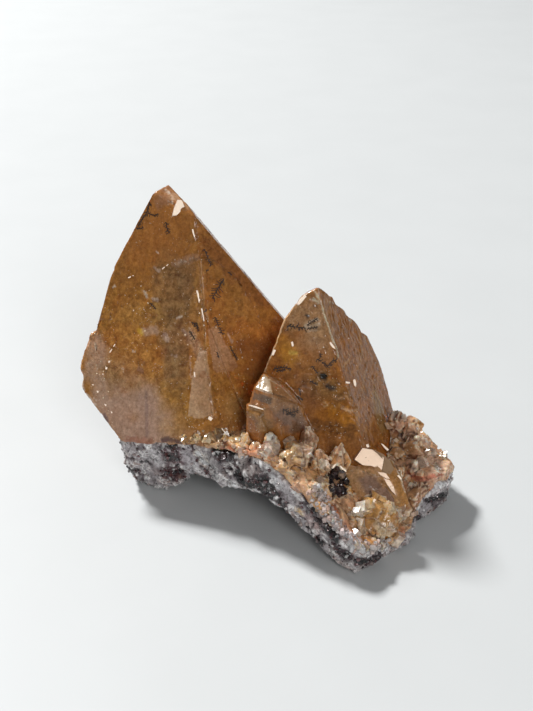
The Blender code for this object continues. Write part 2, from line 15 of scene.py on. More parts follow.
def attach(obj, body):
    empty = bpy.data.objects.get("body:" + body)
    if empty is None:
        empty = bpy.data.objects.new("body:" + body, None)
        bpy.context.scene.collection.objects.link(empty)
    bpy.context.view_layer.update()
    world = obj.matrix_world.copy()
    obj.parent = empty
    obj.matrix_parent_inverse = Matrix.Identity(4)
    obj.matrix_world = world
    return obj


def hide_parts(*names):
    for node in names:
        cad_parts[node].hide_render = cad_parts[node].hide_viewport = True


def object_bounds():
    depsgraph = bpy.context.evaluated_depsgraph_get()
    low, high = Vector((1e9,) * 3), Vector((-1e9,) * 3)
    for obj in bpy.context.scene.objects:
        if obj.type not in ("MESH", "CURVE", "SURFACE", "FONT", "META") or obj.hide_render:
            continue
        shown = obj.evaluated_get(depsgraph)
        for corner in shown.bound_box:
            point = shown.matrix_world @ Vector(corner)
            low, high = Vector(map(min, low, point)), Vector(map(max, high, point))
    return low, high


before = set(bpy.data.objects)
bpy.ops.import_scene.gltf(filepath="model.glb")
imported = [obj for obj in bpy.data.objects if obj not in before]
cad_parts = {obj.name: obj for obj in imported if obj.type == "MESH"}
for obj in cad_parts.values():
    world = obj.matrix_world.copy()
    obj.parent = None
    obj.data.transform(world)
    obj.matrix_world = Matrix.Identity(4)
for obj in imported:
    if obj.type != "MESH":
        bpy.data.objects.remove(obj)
cad_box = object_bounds()
MM = 0.001
BOX_LOW = np.array(cad_box[0]) / MM
BOX_HIGH = np.array(cad_box[1]) / MM

# Camera: where the photographer stood, and the picture's frame. Lights: the way to them, metres and watts.
CAMERA_AT = np.array((-0.416, -202.016, 154.0))
CAMERA_PITCH = math.radians(30)
LENS, SENSOR = 50, 36
PICTURE = (533, 711)
FOCAL_PX = PICTURE[1] * LENS / SENSOR
MIDDLE_PX = (PICTURE[0] / 2, PICTURE[1] / 2)
KEY_FROM = Vector((-0.65, 0.62, 1.0))
KEY_AWAY, KEY_RADIUS, KEY_POWER = 2.0, 0.16, 55.0
SKY = (0.05, 0.28)  # strength at the horizon and above
FLOOR_REACH = 3
FRONT_FROM = (0.30, -0.80, 0.50)
FRONT_AWAY, FRONT_RADIUS, FRONT_POWER = 1.6, 0.30, 7.8

TO_CAMERA = np.array((0.0, -0.87, 0.5))
BRIGHTEST = 0.86  # most that a tint's strongest channel may be
TINY = 1e-9

# Channels of the painted look, and a stroke's lift of the skin in millimetres.
CLEAR, FROST, MOTTLE, LIFT = 0, 1, 2, 3


class Ink:
    """Colours, linear. Tables of strokes use them by name."""
    honey = (0.56, 0.245, 0.045)
    russet = (0.36, 0.13, 0.030)
    amber = (0.50, 0.235, 0.045)
    ochre = (0.55, 0.31, 0.075)
    pinkish = (0.50, 0.33, 0.24)
    pale = (0.74, 0.60, 0.46)
    murky = (0.33, 0.225, 0.10)
    purple = (0.20, 0.13, 0.125)
    red = (0.36, 0.135, 0.08)
    # A painted highlight: the pale colour of glints and shine where faces catch the light.
    glint = (1.0, 0.86, 0.70)
    grey = (0.38, 0.355, 0.36)
    slate = (0.15, 0.13, 0.135)
    white = (0.84, 0.81, 0.79)
    dark = (0.045, 0.034, 0.038)


# ---------------------------------------------------------------- noise

def hashed(cell, seed):
    """A number from 0 to 1 for each whole-number cell."""
    c = cell.astype(np.int64)
    h = c[..., 0] * 374761393 + c[..., 1] * 668265263 + c[..., 2] * 1442695041 + seed * 974634777
    h = (h ^ (h >> 13)) * 1274126177
    h = h ^ (h >> 16)
    h = (h * 2246822519) ^ (h >> 11)
    return (h & 0xFFFFFF) / float(0xFFFFFF)


def smooth_noise(p, size, seed):
    """Noise from -1 to 1, with lumps of that size."""
    q = p / size
    cell = np.floor(q)
    f = q - cell
    f = f * f * (3 - 2 * f)
    total = np.zeros(len(p))
    for corner in itertools.product((0, 1), repeat=3):
        weight = np.prod(np.where(np.array(corner) > 0, f, 1 - f), axis=1)
        total += weight * hashed(cell + corner, seed)
    return total * 2 - 1


def fractal(p, size, seed, octaves=4, fade=0.55):
    """Several layers of noise, the largest lumps of that size."""
    total, amount, reach = np.zeros(len(p)), 1.0, 0.0
    for k in range(octaves):
        total += amount * smooth_noise(p, size / 2 ** k, seed + 17 * k)
        reach += amount
        amount *= fade
    return total / reach * 1.6


def grains(p, size, seed):
    """For each point: distances to the nearest two grain centres over size, that grain's number and the way to it."""
    q = p / size
    base = np.floor(q)
    first = np.full(len(p), 9.0)
    second = np.full(len(p), 9.0)
    number = np.zeros(len(p))
    way = np.zeros_like(p)
    for corner in itertools.product((-1, 0, 1), repeat=3):
        c = base + corner
        centre = c + np.stack([hashed(c, seed + k) for k in (1, 2, 3)], 1)
        gap = q - centre
        d = np.linalg.norm(gap, axis=1)
        nearer = d < first
        second = np.where(nearer, first, np.minimum(second, d))
        number = np.where(nearer, hashed(c, seed + 4), number)
        way = np.where(nearer[:, None], gap, way)
        first = np.where(nearer, d, first)
    return first, second, number, way


def facets(p, size, seed):
    """Heights of randomly tilted flat faces, one to a grain, and the grain's own numbers."""
    first, second, number, way = grains(p, size, seed)
    keys = [np.stack([number * 99991 + k, number * 7919, number * 31], 1) for k in range(3)]
    tilt = np.stack([hashed(key, seed + 9) for key in keys], 1) - 0.5
    return size * np.einsum("ij,ij->i", way, tilt), first, second, number


def ease(x, low, high):
    """0 below low, 1 above high, smooth between."""
    t = np.clip((x - low) / (high - low), 0, 1)
    return t * t * (3 - 2 * t)


# ---------------------------------------------------------------- camera lines

FORWARD = np.array((0, math.cos(CAMERA_PITCH), -math.sin(CAMERA_PITCH)))
UPWARD = np.array((0, math.sin(CAMERA_PITCH), math.cos(CAMERA_PITCH)))


def sight(px, py):
    """Direction from the camera through a pixel of the picture."""
    right, down = (px - MIDDLE_PX[0]) / FOCAL_PX, (py - MIDDLE_PX[1]) / FOCAL_PX
    d = FORWARD + right * np.array((1.0, 0, 0)) - down * UPWARD
    return Vector(d / np.linalg.norm(d))


def seen_at(tree, px, py, turned=False):
    """Point and normal of the surface seen at a pixel, or None. turned looks from behind."""
    half = Vector((-1, -1, 1) if turned else (1, 1, 1))
    place, normal, _, _ = tree.ray_cast(Vector(CAMERA_AT) * half, sight(px, py) * half)
    return None if place is None else (np.array(place), np.array(normal))


def pixels(p):
    """Where points show in the picture."""
    q = p - CAMERA_AT
    scale = FOCAL_PX / (q @ FORWARD)
    return np.stack([MIDDLE_PX[0] + q[:, 0] * scale, MIDDLE_PX[1] - (q @ UPWARD) * scale], 1)


def pairs(text):
    """Numbers written as "x,y x,y": pixels, or colours with three to each."""
    return [tuple(float(v) for v in pair.split(",")) for pair in text.split()]


def rows(text):
    """The lines of a table but for its headings, each split at its semicolon."""
    return [line.split(";") for line in text.strip().splitlines() if line[0] != "#"]


# ---------------------------------------------------------------- dense skins

# Millimetres within which corners join, and the width of a sliver. Radians between which an edge turns sharp.
JOIN, SLIVER = 0.002, 0.01
SHARP_FROM, SHARP_TO = 0.12, 0.5
MOST_HALVINGS = 9


def cad_bmesh(node):
    """A CAD node's surface in millimetres, its corners joined and its flat faces whole triangles."""
    bm = bmesh.new()
    bm.from_mesh(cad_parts[node].data)
    bm.transform(Matrix.Scale(1 / MM, 4))
    bmesh.ops.remove_doubles(bm, verts=bm.verts, dist=JOIN)
    bmesh.ops.dissolve_degenerate(bm, edges=bm.edges, dist=SLIVER)
    bmesh.ops.recalc_face_normals(bm, faces=bm.faces)
    return bm


def refine(bm, longest, shown):
    """Halves the edges longer than longest until none is left, where shown(face) is true."""
    for _ in range(MOST_HALVINGS):
        bm.normal_update()
        seen = {f: shown(f) for f in bm.faces}
        edges = [e for e in bm.edges if e.calc_length() > longest and any(seen[f] for f in e.link_faces)]
        if not edges:
            return
        bmesh.ops.subdivide_edges(bm, edges=edges, cuts=1)
        bmesh.ops.triangulate(bm, faces=[f for f in bm.faces if len(f.verts) > 3])


class Skin:
    """A dense surface as arrays: points p, triangles, edges, and how near each point is to a sharp edge."""

    def __init__(self, bm):
        bm.verts.index_update()
        bm.normal_update()
        self.p = np.array([v.co[:] for v in bm.verts])
        self.faces = np.array([[v.index for v in f.verts] for f in bm.faces])
        self.edges = np.array([[v.index for v in e.verts] for e in bm.edges])
        angles = np.array([e.calc_face_angle(0) for e in bm.edges])
        self.sharp = np.zeros(len(self.p))
        for end in (0, 1):
            np.maximum.at(self.sharp, self.edges[:, end], ease(angles, SHARP_FROM, SHARP_TO))
        self.flat = self.normals()
        self.home = self.p.copy()
        bm.free()

    def normals(self):
        a, b, c = (self.p[self.faces[:, k]] for k in range(3))
        n = np.cross(b - a, c - a)
        total = np.zeros_like(self.p)
        for k in range(3):
            np.add.at(total, self.faces[:, k], n)
        return total / np.maximum(np.linalg.norm(total, axis=1), TINY)[:, None]

    def averaged(self, values):
        """Each point's value averaged over its neighbours."""
        total = np.zeros_like(values)
        count = np.zeros(len(self.p))
        for a, b in ((0, 1), (1, 0)):
            np.add.at(total, self.edges[:, a], values[self.edges[:, b]])
            np.add.at(count, self.edges[:, a], 1)
        return total / (count if values.ndim == 1 else count[:, None])

    def soften_edges(self, rounds, spread=2):
        """Rounds the sharp edges a little, more with each round."""
        weight = self.sharp
        for _ in range(spread):
            weight = np.maximum(weight, self.averaged(weight))
        for _ in range(rounds):
            self.p += (self.averaged(self.p) - self.p) * (0.7 * weight)[:, None]
        self.wear = weight

    def push(self, amount):
        """Moves each point along its normal."""
        self.p += self.normals() * np.asarray(amount)[:, None]

    def hollows(self, rounds):
        """How far each point lies below its surroundings in tenths of a millimetre; ridges are below 0."""
        wide = self.p
        for _ in range(rounds):
            wide = self.averaged(wide)
        return np.einsum("ij,ij->i", wide - self.p, self.normals()) * 10

    def tree(self):
        return BVHTree.FromPolygons([Vector(v) for v in self.p], self.faces.tolist())

    def facing(self, low, high):
        """How much each point of the unworn skin faces the camera, from 0 to 1."""
        return ease(self.flat @ TO_CAMERA, low, high)


class Bare:
    """Points and triangles, and the colours of the ground that they are."""

    def __init__(self, p, faces, tint=None):
        self.p, self.faces, self.tint = p, faces, tint


def triangles(skin):
    """Three corners, outward direction and area of each triangle."""
    a, b, c = (skin.p[skin.faces[:, k]] for k in range(3))
    cross = np.cross(b - a, c - a)
    area = np.maximum(np.linalg.norm(cross, axis=1), TINY)
    return a, b, c, cross / area[:, None], area


def add_object(name, data):
    ob = bpy.data.objects.new(name, data)
    bpy.context.scene.collection.objects.link(ob)
    return ob


def piece(name, skin, material, node=None, slot=None, smooth=True, gain=1.0, **values):
    """Makes the object of a skin. values are colours of each point, kept as attributes; gain is for the tint."""
    mesh = bpy.data.meshes.new(name)
    p = np.clip(skin.p, BOX_LOW, BOX_HIGH) * MM
    mesh.from_pydata(p.tolist(), [], skin.faces.tolist())
    mesh.polygons.foreach_set("use_smooth", [smooth] * len(mesh.polygons))
    for key, data in values.items():
        if key == "tint":
            data = data * np.array(gain)
            data = data / np.maximum(data.max(axis=1) / BRIGHTEST, 1)[:, None]
        layer = mesh.attributes.new(key, "FLOAT_COLOR", "POINT")
        rgba = np.ones((len(skin.p), 4), np.float32)
        rgba[:, :data.shape[1]] = data
        layer.data.foreach_set("color", rgba.ravel())
    mesh.materials.append(material)
    ob = add_object(name, mesh)
    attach(ob, "root")
    if node:
        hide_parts(node)


def ball(p, centre, radius, seed, ragged=0.35):
    """1 in the middle of a blob and 0 outside it, with a ragged edge."""
    d = np.linalg.norm(p - centre, axis=1) / radius
    d = d + ragged * fractal(p, radius * 0.8, seed, 3)
    return 1 - ease(d, 0.55, 1.1)


def mix(a, b, share):
    """Blends colours a towards b by each point's share."""
    s = np.clip(share, 0, 1)[:, None]
    return a * (1 - s) + np.asarray(b, float) * s


def trace(tree, corners, step=1.6):
    """Surface points seen along a line through pixels, one to each step of pixels."""
    line = [corners[0]]
    for a, b in zip(corners, corners[1:]):
        n = max(1, int(math.dist(a, b) / step))
        line += [(a[0] + (b[0] - a[0]) * k / n, a[1] + (b[1] - a[1]) * k / n) for k in range(1, n + 1)]
    found = [seen_at(tree, *q) for q in line]
    return np.array([f[0] for f in found if f is not None])


def stroke_share(skin, tree, text, radius, seed):
    """1 along a line through pixels and 0 away from it, with ragged edges."""
    home, line = skin.home, trace(tree, pairs(text))
    share = np.zeros(len(home))
    if not len(line):
        return share
    reach = radius * 2.0
    near = np.nonzero(((home > line.min(0) - reach) & (home < line.max(0) + reach)).all(1))[0]
    if not len(near):
        return share
    p = home[near]
    d = np.full(len(p), 99.0)
    for q in line:
        d = np.minimum(d, np.linalg.norm(p - q, axis=1))
    d = d / radius + 0.45 * fractal(p, max(radius * 0.8, 0.7), seed, 3)
    soft = min(radius / 5.0, 1.0)
    share[near] = 1 - ease(d, 0.6 - 0.5 * soft, 1.1 + 0.5 * soft)
    return share


def patch_share(skin, tree, text):
    """1 on the face seen inside a ring of pixels."""
    at = pixels(skin.home)
    corners = pairs(text)
    ring = np.array(corners)
    inside = np.zeros(len(at), bool)
    for a, b in zip(ring, np.roll(ring, -1, 0)):
        crosses = (a[1] > at[:, 1]) != (b[1] > at[:, 1])
        x = a[0] + (at[:, 1] - a[1]) * (b[0] - a[0]) / (b[1] - a[1] or TINY)
        inside ^= crosses & (at[:, 0] < x)
    spots = trace(tree, corners)
    if not len(spots):
        return np.zeros(len(at))
    middle = spots.mean(0)
    reach = np.linalg.norm(spots - middle, axis=1).max() * 1.3
    near = np.linalg.norm(skin.home - middle, axis=1) < reach
    return (inside & near & (skin.flat @ TO_CAMERA > -0.1)).astype(float)


def paint(skin, tree, tint, look, table, seed=300):
    """Paints a table of strokes, one to a line.

    Before the semicolon are the pixels of a line or ring. After it are the radius in millimetres (0 fills the ring),
    the colour, the strength, and changes: c for CLEAR, f for FROST, m for MOTTLE and l for LIFT, each with its value.
    """
    for k, (where, how) in enumerate(rows(table)):
        radius, colour, strength, *changes = how.split()
        if float(radius):
            share = stroke_share(skin, tree, where, float(radius), seed + k)
        else:
            share = patch_share(skin, tree, where)
        rgb = getattr(Ink, colour) if colour.isalpha() else pairs(colour)[0]
        tint[:] = mix(tint, rgb, share * float(strength))
        for change in changes:
            channel, value = "cfml".index(change[0]), float(change[1:])
            if channel == LIFT:
                skin.push(share * value)
            else:
                look[:, channel] = look[:, channel] * (1 - share) + value * share


def paint_unseen(skin, tint, look, colours, count, radii, seed):
    """Blobs of the same colours on the sides that the camera doesn't see."""
    rng = np.random.default_rng(seed)
    away = skin.facing(0.05, -0.1)
    hidden = np.nonzero(away > 0.9)[0]
    for k in range(count):
        centre = skin.home[hidden[rng.integers(len(hidden))]]
        stretch = rng.uniform(0.6, 2.2, 3)
        share = ball(skin.home * stretch, centre * stretch, rng.uniform(*radii), seed + k, 0.6) * away
        tint[:] = mix(tint, colours[rng.integers(len(colours))], share * rng.uniform(0.2, 0.6))
        look[:, CLEAR] = look[:, CLEAR] * (1 - share) + rng.uniform(0.2, 0.7) * share


# ---------------------------------------------------------------- node materials

RED_DEEP = (1.0, 0.5, 0.25)


class Nodes:
    """Short ways to build a material's nodes."""

    def __init__(self, name):
        self.mat = bpy.data.materials.new(name)
        self.mat.use_nodes = True
        self.tree = self.mat.node_tree
        self.tree.nodes.clear()
        self.out = self.add("OutputMaterial")
        self.shader = self.add("BsdfPrincipled")
        self.put(self.out.inputs["Surface"], self.shader.outputs[0])
        self.place = self.add("TexCoord").outputs["Object"]

    def add(self, kind, inputs=(), **settings):
        """A new node. inputs holds values or sockets by the input's name or number."""
        node = self.tree.nodes.new("ShaderNode" + kind)
        for key, value in settings.items():
            setattr(node, key, value)
        for key, value in dict(inputs).items():
            self.put(node.inputs[key], value)
        return node

    def put(self, socket, value):
        if isinstance(value, bpy.types.NodeSocket):
            self.tree.links.new(value, socket)
        else:
            colour = socket.type == "RGBA" and isinstance(value, tuple) and len(value) == 3
            socket.default_value = (*value, 1) if colour else value

    def set(self, **values):
        for key, value in values.items():
            self.put(self.shader.inputs[key.replace("_", " ")], value)

    def noise(self, size, detail=4.0, rough=0.6, place=None, distort=0.0):
        inputs = {"Vector": place or self.place, "Scale": 1000 / size, "Detail": detail, "Roughness": rough}
        return self.add("TexNoise", {**inputs, "Distortion": distort}).outputs[0]

    def stretched(self, scale, turn):
        return self.add("Mapping", {"Vector": self.place, "Scale": scale, "Rotation": turn}).outputs[0]

    def span(self, value, low, high, to_low=0.0, to_high=1.0):
        inputs = {"Value": value, "From Min": low, "From Max": high, "To Min": to_low, "To Max": to_high}
        return self.add("MapRange", inputs, interpolation_type="SMOOTHSTEP").outputs[0]

    def maths(self, operation, *values):
        return self.add("Math", dict(enumerate(values)), operation=operation).outputs[0]

    def mul(self, a, b):
        return self.maths("MULTIPLY", a, b)

    def off(self, value):
        """How far a noise is from its middle."""
        return self.maths("SUBTRACT", value, 0.5)

    def blend(self, factor, a, b, kind="MIX"):
        inputs = {0: factor, 6: a, 7: b}
        return self.add("Mix", inputs, data_type="RGBA", blend_type=kind, clamp_result=True).outputs[2]

    def times(self, a, b):
        return self.blend(1.0, a, b, "MULTIPLY")

    def painted(self, name="tint"):
        return self.add("Attribute", attribute_name=name).outputs["Color"]

    def look(self):
        return self.add("SeparateColor", {0: self.painted("look")}).outputs

    def bump(self, height, distance, strength=1.0, under=None):
        inputs = {"Height": height, "Distance": distance * MM, "Strength": strength}
        return self.add("Bump", {**inputs, "Normal": under} if under else inputs).outputs[0]

    def absorb(self, colour, density):
        volume = self.add("VolumeAbsorption", {"Color": colour, "Density": density})
        self.put(self.out.inputs["Volume"], volume.outputs[0])


def calcite(name, absorb_colour, density, streak_turn):
    """Cloudy golden calcite: painted tint, veils and flecks in it, clear windows, faint growth lines on it."""
    m = Nodes(name)
    tint, look = m.painted(), m.look()
    cloud = m.noise(1.5, 8, 0.7, distort=0.4)
    streak = m.noise(0.8, 4, 0.6, place=m.stretched((1.0, 1.0, 0.10), streak_turn))
    veils = m.mul(m.off(cloud), m.mul(look[MOTTLE], 0.7))
    shade = m.maths("MULTIPLY_ADD", m.off(m.noise(0.55, 4, 0.7)), 0.6, veils)
    shade = m.maths("ADD", shade, m.mul(m.off(streak), 0.35))
    shade = m.span(m.maths("ADD", shade, 0.5), 0.18, 0.82)
    colour = m.blend(shade, m.times(tint, (0.60, 0.50, 0.38)), m.times(tint, (1.36, 1.36, 1.32)))
    patch = m.mul(m.span(m.noise(4.0, 4, 0.65), 0.46, 0.60), look[MOTTLE])
    fleck = m.mul(m.span(m.noise(0.42, 2, 0.6), 0.64, 0.70), patch)
    colour = m.blend(m.mul(fleck, 0.9), colour, (1.0, 0.88, 0.66))
    speck = m.mul(m.span(m.noise(0.6, 3, 0.65), 0.36, 0.29), patch)
    colour = m.blend(m.mul(speck, 0.35), colour, (0.09, 0.045, 0.018))
    frost = m.mul(look[FROST], m.span(m.noise(0.6, 4, 0.7), 0.34, 0.56))
    colour = m.blend(m.mul(frost, 0.6), colour, (0.94, 0.78, 0.62))
    clear = m.mul(look[CLEAR], m.span(cloud, 0.3, 0.7, 1.0, 0.35))
    rough = m.maths("ADD", m.span(m.noise(2.2, 4, 0.6), 0.3, 0.75, 0.08, 0.26), m.mul(frost, 0.2))
    normal = m.bump(m.noise(0.45, 4, 0.65), 0.025, 0.7, under=m.bump(streak, 0.02, 0.4))
    m.set(Base_Color=colour, Roughness=rough, Transmission_Weight=clear, Normal=normal, IOR=1.52)
    m.set(Specular_IOR_Level=0.42, Subsurface_Weight=0.12, Subsurface_Radius=RED_DEEP, Subsurface_Scale=0.0008)
    m.absorb(absorb_colour, density)
    return m.mat


def crust_calcite():
    """Small brown crystals: pinkish brown, reddish near the joint, glinting."""
    m = Nodes("crust_calcite")
    tint, look = m.painted(), m.look()
    grain = m.noise(1.3, 5, 0.65)
    tones = m.times(tint, (0.70, 0.64, 0.58)), m.times(tint, (1.25, 1.22, 1.18))
    fleck = m.mul(m.span(m.noise(0.45, 3, 0.7), 0.64, 0.72), 0.3)
    m.set(Base_Color=m.blend(fleck, m.blend(m.span(grain, 0.3, 0.7), *tones), (0.90, 0.74, 0.56)), IOR=1.6)
    m.set(Roughness=m.span(m.noise(1.6, 4, 0.6), 0.3, 0.75, 0.08, 0.30))
    m.set(Normal=m.bump(m.noise(0.4, 4, 0.65), 0.03, 0.7))
    m.set(Transmission_Weight=m.mul(look[CLEAR], m.span(grain, 0.3, 0.7, 1.0, 0.4)))
    m.set(Subsurface_Weight=0.25, Subsurface_Radius=RED_DEEP, Subsurface_Scale=0.0012)
    m.absorb((0.85, 0.6, 0.4), 350.0)
    return m.mat


def matrix_rock():
    """Grey quartz matrix: translucent grey grains with white frost, purple-brown and black patches."""
    m = Nodes("quartz_matrix")
    tint, look = m.painted(), m.look()
    tones = m.times(tint, (0.5, 0.47, 0.47)), m.times(tint, (1.35, 1.35, 1.35))
    colour = m.blend(m.span(m.noise(0.8, 5, 0.7), 0.32, 0.68), *tones)
    speck = m.mul(m.span(m.noise(0.5, 3, 0.6), 0.62, 0.68), look[FROST])
    colour = m.blend(speck, colour, (0.86, 0.84, 0.82))
    pit = m.mul(m.span(m.noise(0.9, 4, 0.7), 0.36, 0.31), 0.8)
    m.set(Base_Color=m.blend(pit, colour, (0.045, 0.035, 0.038)), IOR=1.54)
    m.set(Roughness=m.span(m.noise(1.0, 4, 0.6), 0.3, 0.7, 0.22, 0.6))
    m.set(Normal=m.bump(m.noise(0.35, 4, 0.7), 0.08, 0.8))
    m.set(Subsurface_Weight=0.2, Subsurface_Radius=(1.0, 0.9, 0.9), Subsurface_Scale=0.0008)
    return m.mat


def black_grain():
    """Hematite: near black, glinting."""
    m = Nodes("black_grain")
    tones = m.blend(m.noise(0.5, 3, 0.6), (0.6, 0.6, 0.6), (1.5, 1.4, 1.4))
    m.set(Base_Color=m.times(m.painted(), tones), Metallic=0.35, IOR=2.2)
    m.set(Roughness=m.span(m.noise(0.9, 3, 0.6), 0.3, 0.7, 0.12, 0.4))
    return m.mat


def quartz():
    """Clear to milky quartz."""
    m = Nodes("milky_quartz")
    haze = m.noise(1.0, 4, 0.6)
    m.set(Base_Color=m.times(m.painted(), m.blend(haze, (0.7, 0.7, 0.7), (1.3, 1.3, 1.3))), IOR=1.54)
    m.set(Roughness=m.span(haze, 0.3, 0.7, 0.06, 0.25))
    m.set(Transmission_Weight=m.mul(m.look()[CLEAR], m.span(haze, 0.35, 0.65, 1.0, 0.4)))
    return m.mat


# ---------------------------------------------------------------- the large crystal

def crystal_skin(node, longest, floor_at, finer=0.6):
    """A crystal's dense skin, densest towards the camera. Its underside, in the crust, stays coarse."""
    bm = cad_bmesh(node)
    toward = Vector(TO_CAMERA)
    refine(bm, longest, lambda f: f.normal.z > -0.75 or f.calc_center_median().z > floor_at)
    refine(bm, longest * finer, lambda f: f.normal.dot(toward) > 0 and f.calc_center_median().z > floor_at - 4)
    return Skin(bm)


def stairs(level, riser):
    """What a smooth rise lacks or has over to be a flight of steps."""
    return np.floor(level) + ease(level - np.floor(level), 0.0, riser) - level


def wear_crystal(skin, seed, chip=0.5):
    """Rounded and chipped edges, a slight warp and growth steps of a tenth of a millimetre on the faces."""
    skin.soften_edges(3)
    chips = ease(fractal(skin.p, 2.2, seed, 3), 0.12, 0.75) * skin.wear
    warp = 0.10 * fractal(skin.p, 9.0, seed + 1, 3)
    steps = 0.07 * stairs(4.0 * (fractal(skin.p, 7.0, seed + 2, 3) + 0.02 * skin.p[:, 2]), 0.22)
    pits = -0.12 * ease(fractal(skin.p, 1.1, seed + 3, 2), 0.55, 0.95)
    skin.push(warp + steps + pits - chip * chips)


def frost_edges(skin, look, low, seed, strength):
    """White wear along the sharp edges."""
    edge = ease(skin.wear, low, 1.0) * ease(fractal(skin.home, 2, seed, 3), -0.1, 0.4)
    look[:, FROST] = np.maximum(look[:, FROST], strength * edge)


# Strokes in the glint colour are painted highlights.
# painted highlights for the glints, and veils inside
LARGE_STROKES = """
# broad tones
160,205 150,240 170,245; 7 russet .35 m.5 c.35
208,245 232,272 262,300; 2.2 russet .6
120,300 112,340 118,372; 5 amber .5 m1.2
140,310 138,350 150,378; 5 ochre .35 m1.4 c.5
176,280 172,310; 5 murky .5 m1.3 c.6
176,335 175,372; 4 murky .6 m1.3 c.6
150,268 197,258 193,290 189,310 190,340 189,372 187,396 178,400 165,386 159,340 154,300; 0 murky .22
176,264 198,257 195,285 192,302 188,311 183,300 177,282; 0 .24,.16,.085 .28
165,345 189,345 189,376 164,378; 0 murky .27
198,257 205,266 207,290 203,312 206,330 208,372 192,374 190,340 189,310 193,290; 0 .6,.33,.1 .35
112,372 125,385 140,392; 5 .52,.33,.15 .6
96,345 94,375 104,398; 3 pinkish .55 f.25 c.3
112,408 138,408 160,428 130,432 118,420; 6 pinkish .85 c.2 m.4
150,400 156,434; 3.5 pinkish .6 c.2 m.5
128,441 150,442; 1.2 red .6
104,416 111,429 122,445; .7 purple .85
146,392 147,436; .5 purple .4
172,400 186,414 176,430; 4 ochre .45
# ridge, the pale strip on its left and the pink wedge on its right
188,416 190,396 194,368 199,352 206,350 210,378 213.5,414 200,419; 0 pale .42 m.5 c.25
207,330 216,325 238,366 232,372 214,372; 0 pinkish .42 m.6 c.25
222,385 232,412; 5 amber .5 c.6
246,345 262,350 256,372; 3.2 .25,.085,.018 .85 c.2
236,408 250,420; 3 murky .4 c.3
192,229 197,293 201,310 205,324 207,353 210,375 213,402 215,416; .8 amber .3 l.16
190,357 191,377; .2 glint .35
206,226 240,264 280,312; .6 pinkish .5 f.3
# the tip: blunt, pale and chipped
154,190 166,186 170,196 160,202; 1.8 .34,.165,.08 .75 c.15
166,190 172,196 172,203; .35 pale .7 f.4
172,196 186,204 194,211; 1.3 .58,.36,.2 .6
154,190 138,210 130,226; .35 pale .8 f.6
163,440 174,440 185,445; .8 .08,.04,.045 .85 c0
# glints and veils inside
175,264.5 186,260 197,257; .9 pinkish .35
179,262 184,261; .25 pale .5
190,259 194,257; .2 pale .5
113,287 115,286; .23 glint .7
144,291 147,297; .3 glint .7
154,299 157,300; .48 pale .8
177,318 181,317; .33 glint .7
157,252 158,253; .23 glint .7
155,268 159,271; .4 pale .7
145,332 155,330; 1.1 pale .5 m.5
139,331 142,333; .7 .85,.5,.05 .8
157,305 161,328; 1 ochre .5
165,335 168,340; .72 pale .75
94,398 96,400; .26 glint .7
122,368 123,369; .26 glint .7
139,369 142,371; .7 purple .5
133,351 135,352; .23 glint .6
172,355 176,356; .35 pale .6
183,330 186,334; .4 pale .6
191,335 199,352; 1.6 pale .3 m1.4
228,334 232,342; .33 glint .4
92,317 87,328 84,340; .9 pinkish .6 f.5
79,372 84,392 96,405; .4 pale .6 f.6
"""


def base_look(skin, tint, other, patch, seed, look):
    """Even tint with patches of another one, and the same look all over."""
    share = ease(fractal(skin.home, patch, seed, 4), -0.1, 0.7) * 0.55
    shades = mix(np.tile(tint, (len(skin.p), 1)), other, share)
    looks = np.tile(look, (len(skin.p), 1))
    looks[:, MOTTLE] *= 0.6 + 0.8 * ease(fractal(skin.home, patch * 0.7, seed + 1, 3), -0.4, 0.5)
    return shades, looks


def large_crystal():
    skin = crystal_skin("large_crystal", 1.05, 20, 0.52)
    tree = skin.tree()
    height = skin.home[:, 2]
    wear_crystal(skin, 11)
    tint, look = base_look(skin, Ink.honey, Ink.amber, 9.0, 5, (0.55, 0.04, 0.7))
    tint = mix(tint, Ink.russet, ease(height, 40, 60) * 0.35)
    tint = mix(tint, Ink.pinkish, (1 - ease(height, 16, 24)) * 0.5)
    look[:, MOTTLE] *= 1 - 0.5 * ease(height, 34, 52)
    blobs = [Ink.pinkish, Ink.amber, Ink.murky, Ink.russet, Ink.ochre, Ink.pale]
    paint_unseen(skin, tint, look, blobs, 110, (1.5, 9.0), 1200)
    paint(skin, tree, tint, look, LARGE_STROKES)
    frost_edges(skin, look, 0.75, 9, 0.3)
    material = calcite("honey_calcite", (0.93, 0.60, 0.22), 230.0, (0.0, 0.1, 0.4))
    piece("large_crystal_body", skin, material, "large_crystal", "honey_calcite",
          gain=(1.06, 1.07, 1.17), tint=tint, look=look)
    return skin
